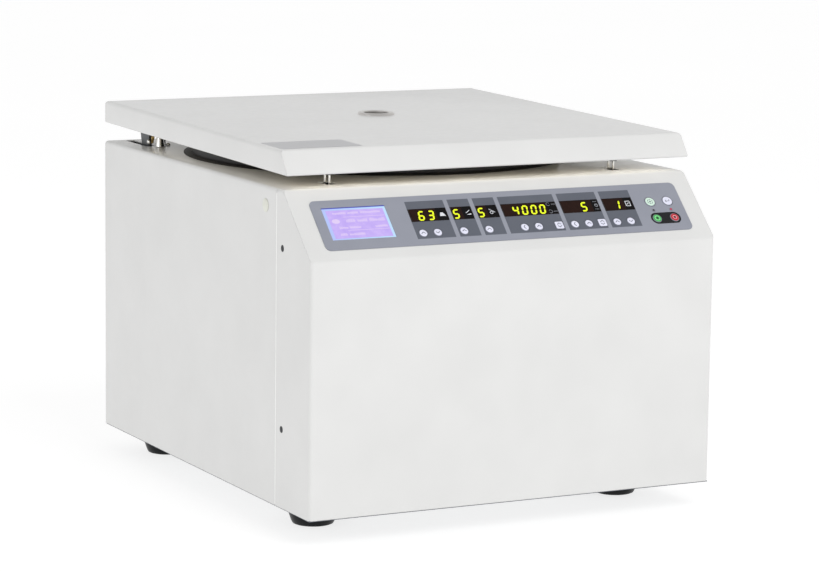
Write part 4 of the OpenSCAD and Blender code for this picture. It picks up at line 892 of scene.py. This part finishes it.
def make_bottom_shade_strip():
    """Dark grey strip all round below the cabinet's sides, as four flat bars: painted shade for the shadowed
    bottom edge of the cabinet.
    """
    x, y, thick = BODY_W / 2 - 0.6, BACK_Y - 0.6, 2.0
    inner_x, inner_y = x - thick, y - thick
    spans = ((-x, x, -y, -inner_y), (-x, x, inner_y, y), (-x, -inner_x, -inner_y, inner_y),
             (inner_x, x, -inner_y, inner_y))
    bars = [[(left, near), (right, near), (right, far), (left, far)] for left, right, near, far in spans]
    low, high = BOTTOM_Z - 0.8, BOTTOM_Z - 0.04
    plates("bottom_shade_strip", bars, low, high, UPRIGHT, BOTTOM_SHADE, "cabinet")


def place_camera():
    """Camera at the solved place, turned by azimuth, elevation and roll."""
    azimuth, elevation, roll = (math.radians(a) for a in (CAMERA_AZIMUTH, CAMERA_ELEVATION, CAMERA_ROLL))
    back = np.array([math.sin(azimuth) * math.cos(elevation), -math.cos(azimuth) * math.cos(elevation),
                     math.sin(elevation)])
    right = np.cross(-back, (0, 0, 1))
    right /= np.linalg.norm(right)
    up = np.cross(back, right)
    turned_right = math.cos(roll) * right + math.sin(roll) * up
    turned_up = -math.sin(roll) * right + math.cos(roll) * up
    data = bpy.data.cameras.new("camera")
    data.sensor_width = SENSOR_MM
    data.lens = CAMERA_FOCAL_PX / PHOTO_WIDTH_PX * SENSOR_MM
    data.clip_end = 50
    camera = bpy.data.objects.new("camera", data)
    matrix = np.eye(4)
    matrix[:3, 0], matrix[:3, 1], matrix[:3, 2] = turned_right, turned_up, back
    matrix[:3, 3] = np.array(CAMERA_PLACE) * MM
    camera.matrix_world = Matrix(matrix.tolist())
    bpy.context.collection.objects.link(camera)
    bpy.context.scene.camera = camera


def softbox(name, place, aim, size, power, depth=None, colour=(1, 1, 1)):
    """Area light at place, aimed at a point; metres and watts.

    With a depth it is a narrow strip, which no camera or mirror sees.
    """
    data = bpy.data.lights.new(name, "AREA")
    data.shape = "RECTANGLE"
    data.size = size
    data.size_y = depth or size
    data.energy = power
    data.color = colour
    light = bpy.data.objects.new(name, data)
    light.location = place
    light.rotation_euler = (Vector(aim) - Vector(place)).to_track_quat("-Z", "Y").to_euler()
    light.visible_camera = light.visible_glossy = depth is None
    bpy.context.collection.objects.link(light)
    return light


def make_floor():
    """White paper floor, which glows a little, so that it stays white round the shadow."""
    size = 30.0
    mesh = bpy.data.meshes.new("floor")
    corners = [(-size, -size, 0), (size, -size, 0), (size, size, 0), (-size, size, 0)]
    mesh.from_pydata(corners, [], [[0, 1, 2, 3]])
    made, tree, shader = finish_of("white_paper_sweep", Roughness=0.9, Emission_Strength=0.76)
    shader.inputs["Emission Color"].default_value = (1, 1, 1, 1)
    paper = tint(tree, noise(tree, coords(tree), 900), "#949494", "#969696")
    tree.links.new(paper, shader.inputs["Base Color"])
    mesh.materials.append(made)
    floor = bpy.data.objects.new("floor", mesh)
    bpy.context.collection.objects.link(floor)


def make_sky():
    """White surroundings, brighter at the horizon than overhead."""
    world = bpy.data.worlds.new("studio")
    world.use_nodes = True
    tree = world.node_tree
    way = add(tree, "ShaderNodeTexCoord").outputs["Generated"]
    height = add(tree, "ShaderNodeSeparateXYZ", {"Vector": way}).outputs["Z"]
    overhead = add(tree, "ShaderNodeMapRange", {
        "Value": height, "From Min": 0.1, "From Max": 1.0, "To Min": 0.85, "To Max": 0.49}).outputs["Result"]
    sky = tree.nodes["Background"]
    tree.links.new(overhead, sky.inputs["Strength"])
    sky.inputs["Color"].default_value = (1, 1, 1, 1)
    bpy.context.scene.world = world


def make_lights():
    """Two large soft lights, and two faint warm strips that lift the gap under the lid."""
    middle = (0, 0, 0.25)
    # The photographed lid shows no mirror image of the high light
    softbox("high_softbox", (0.5, -2.6, 2.6), middle, 2.0, 52).visible_glossy = False
    softbox("left_softbox", (-3.2, -0.9, 1.2), middle, 1.8, 15)
    warm, thin = (1.0, 0.94, 0.84), 0.006
    ahead, drop = 0.1, 0.05
    under = (DECK_Z + 12) * MM
    front = (FRONT_Y + 70) * MM
    left = (5 - BODY_W / 2) * MM
    softbox("front_gap_strip", (0, front, under), (0, front + ahead, under - drop), 0.44, 0.045, thin, warm)
    softbox("left_gap_strip", (left, -0.02, under), (left + ahead, -0.02, under - drop),
            0.36, 0.0105, thin, warm)


dress_solids()
make_digits()
make_icons()
make_keys()
make_display_marks()
make_feet()
make_latch()
make_arm_details()
make_deck_details()
make_seal_skirt()
make_seam_highlights()
make_bottom_shade_strip()
place_camera()
make_floor()
make_sky()
make_lights()
bpy.context.scene.view_settings.view_transform = "Standard"
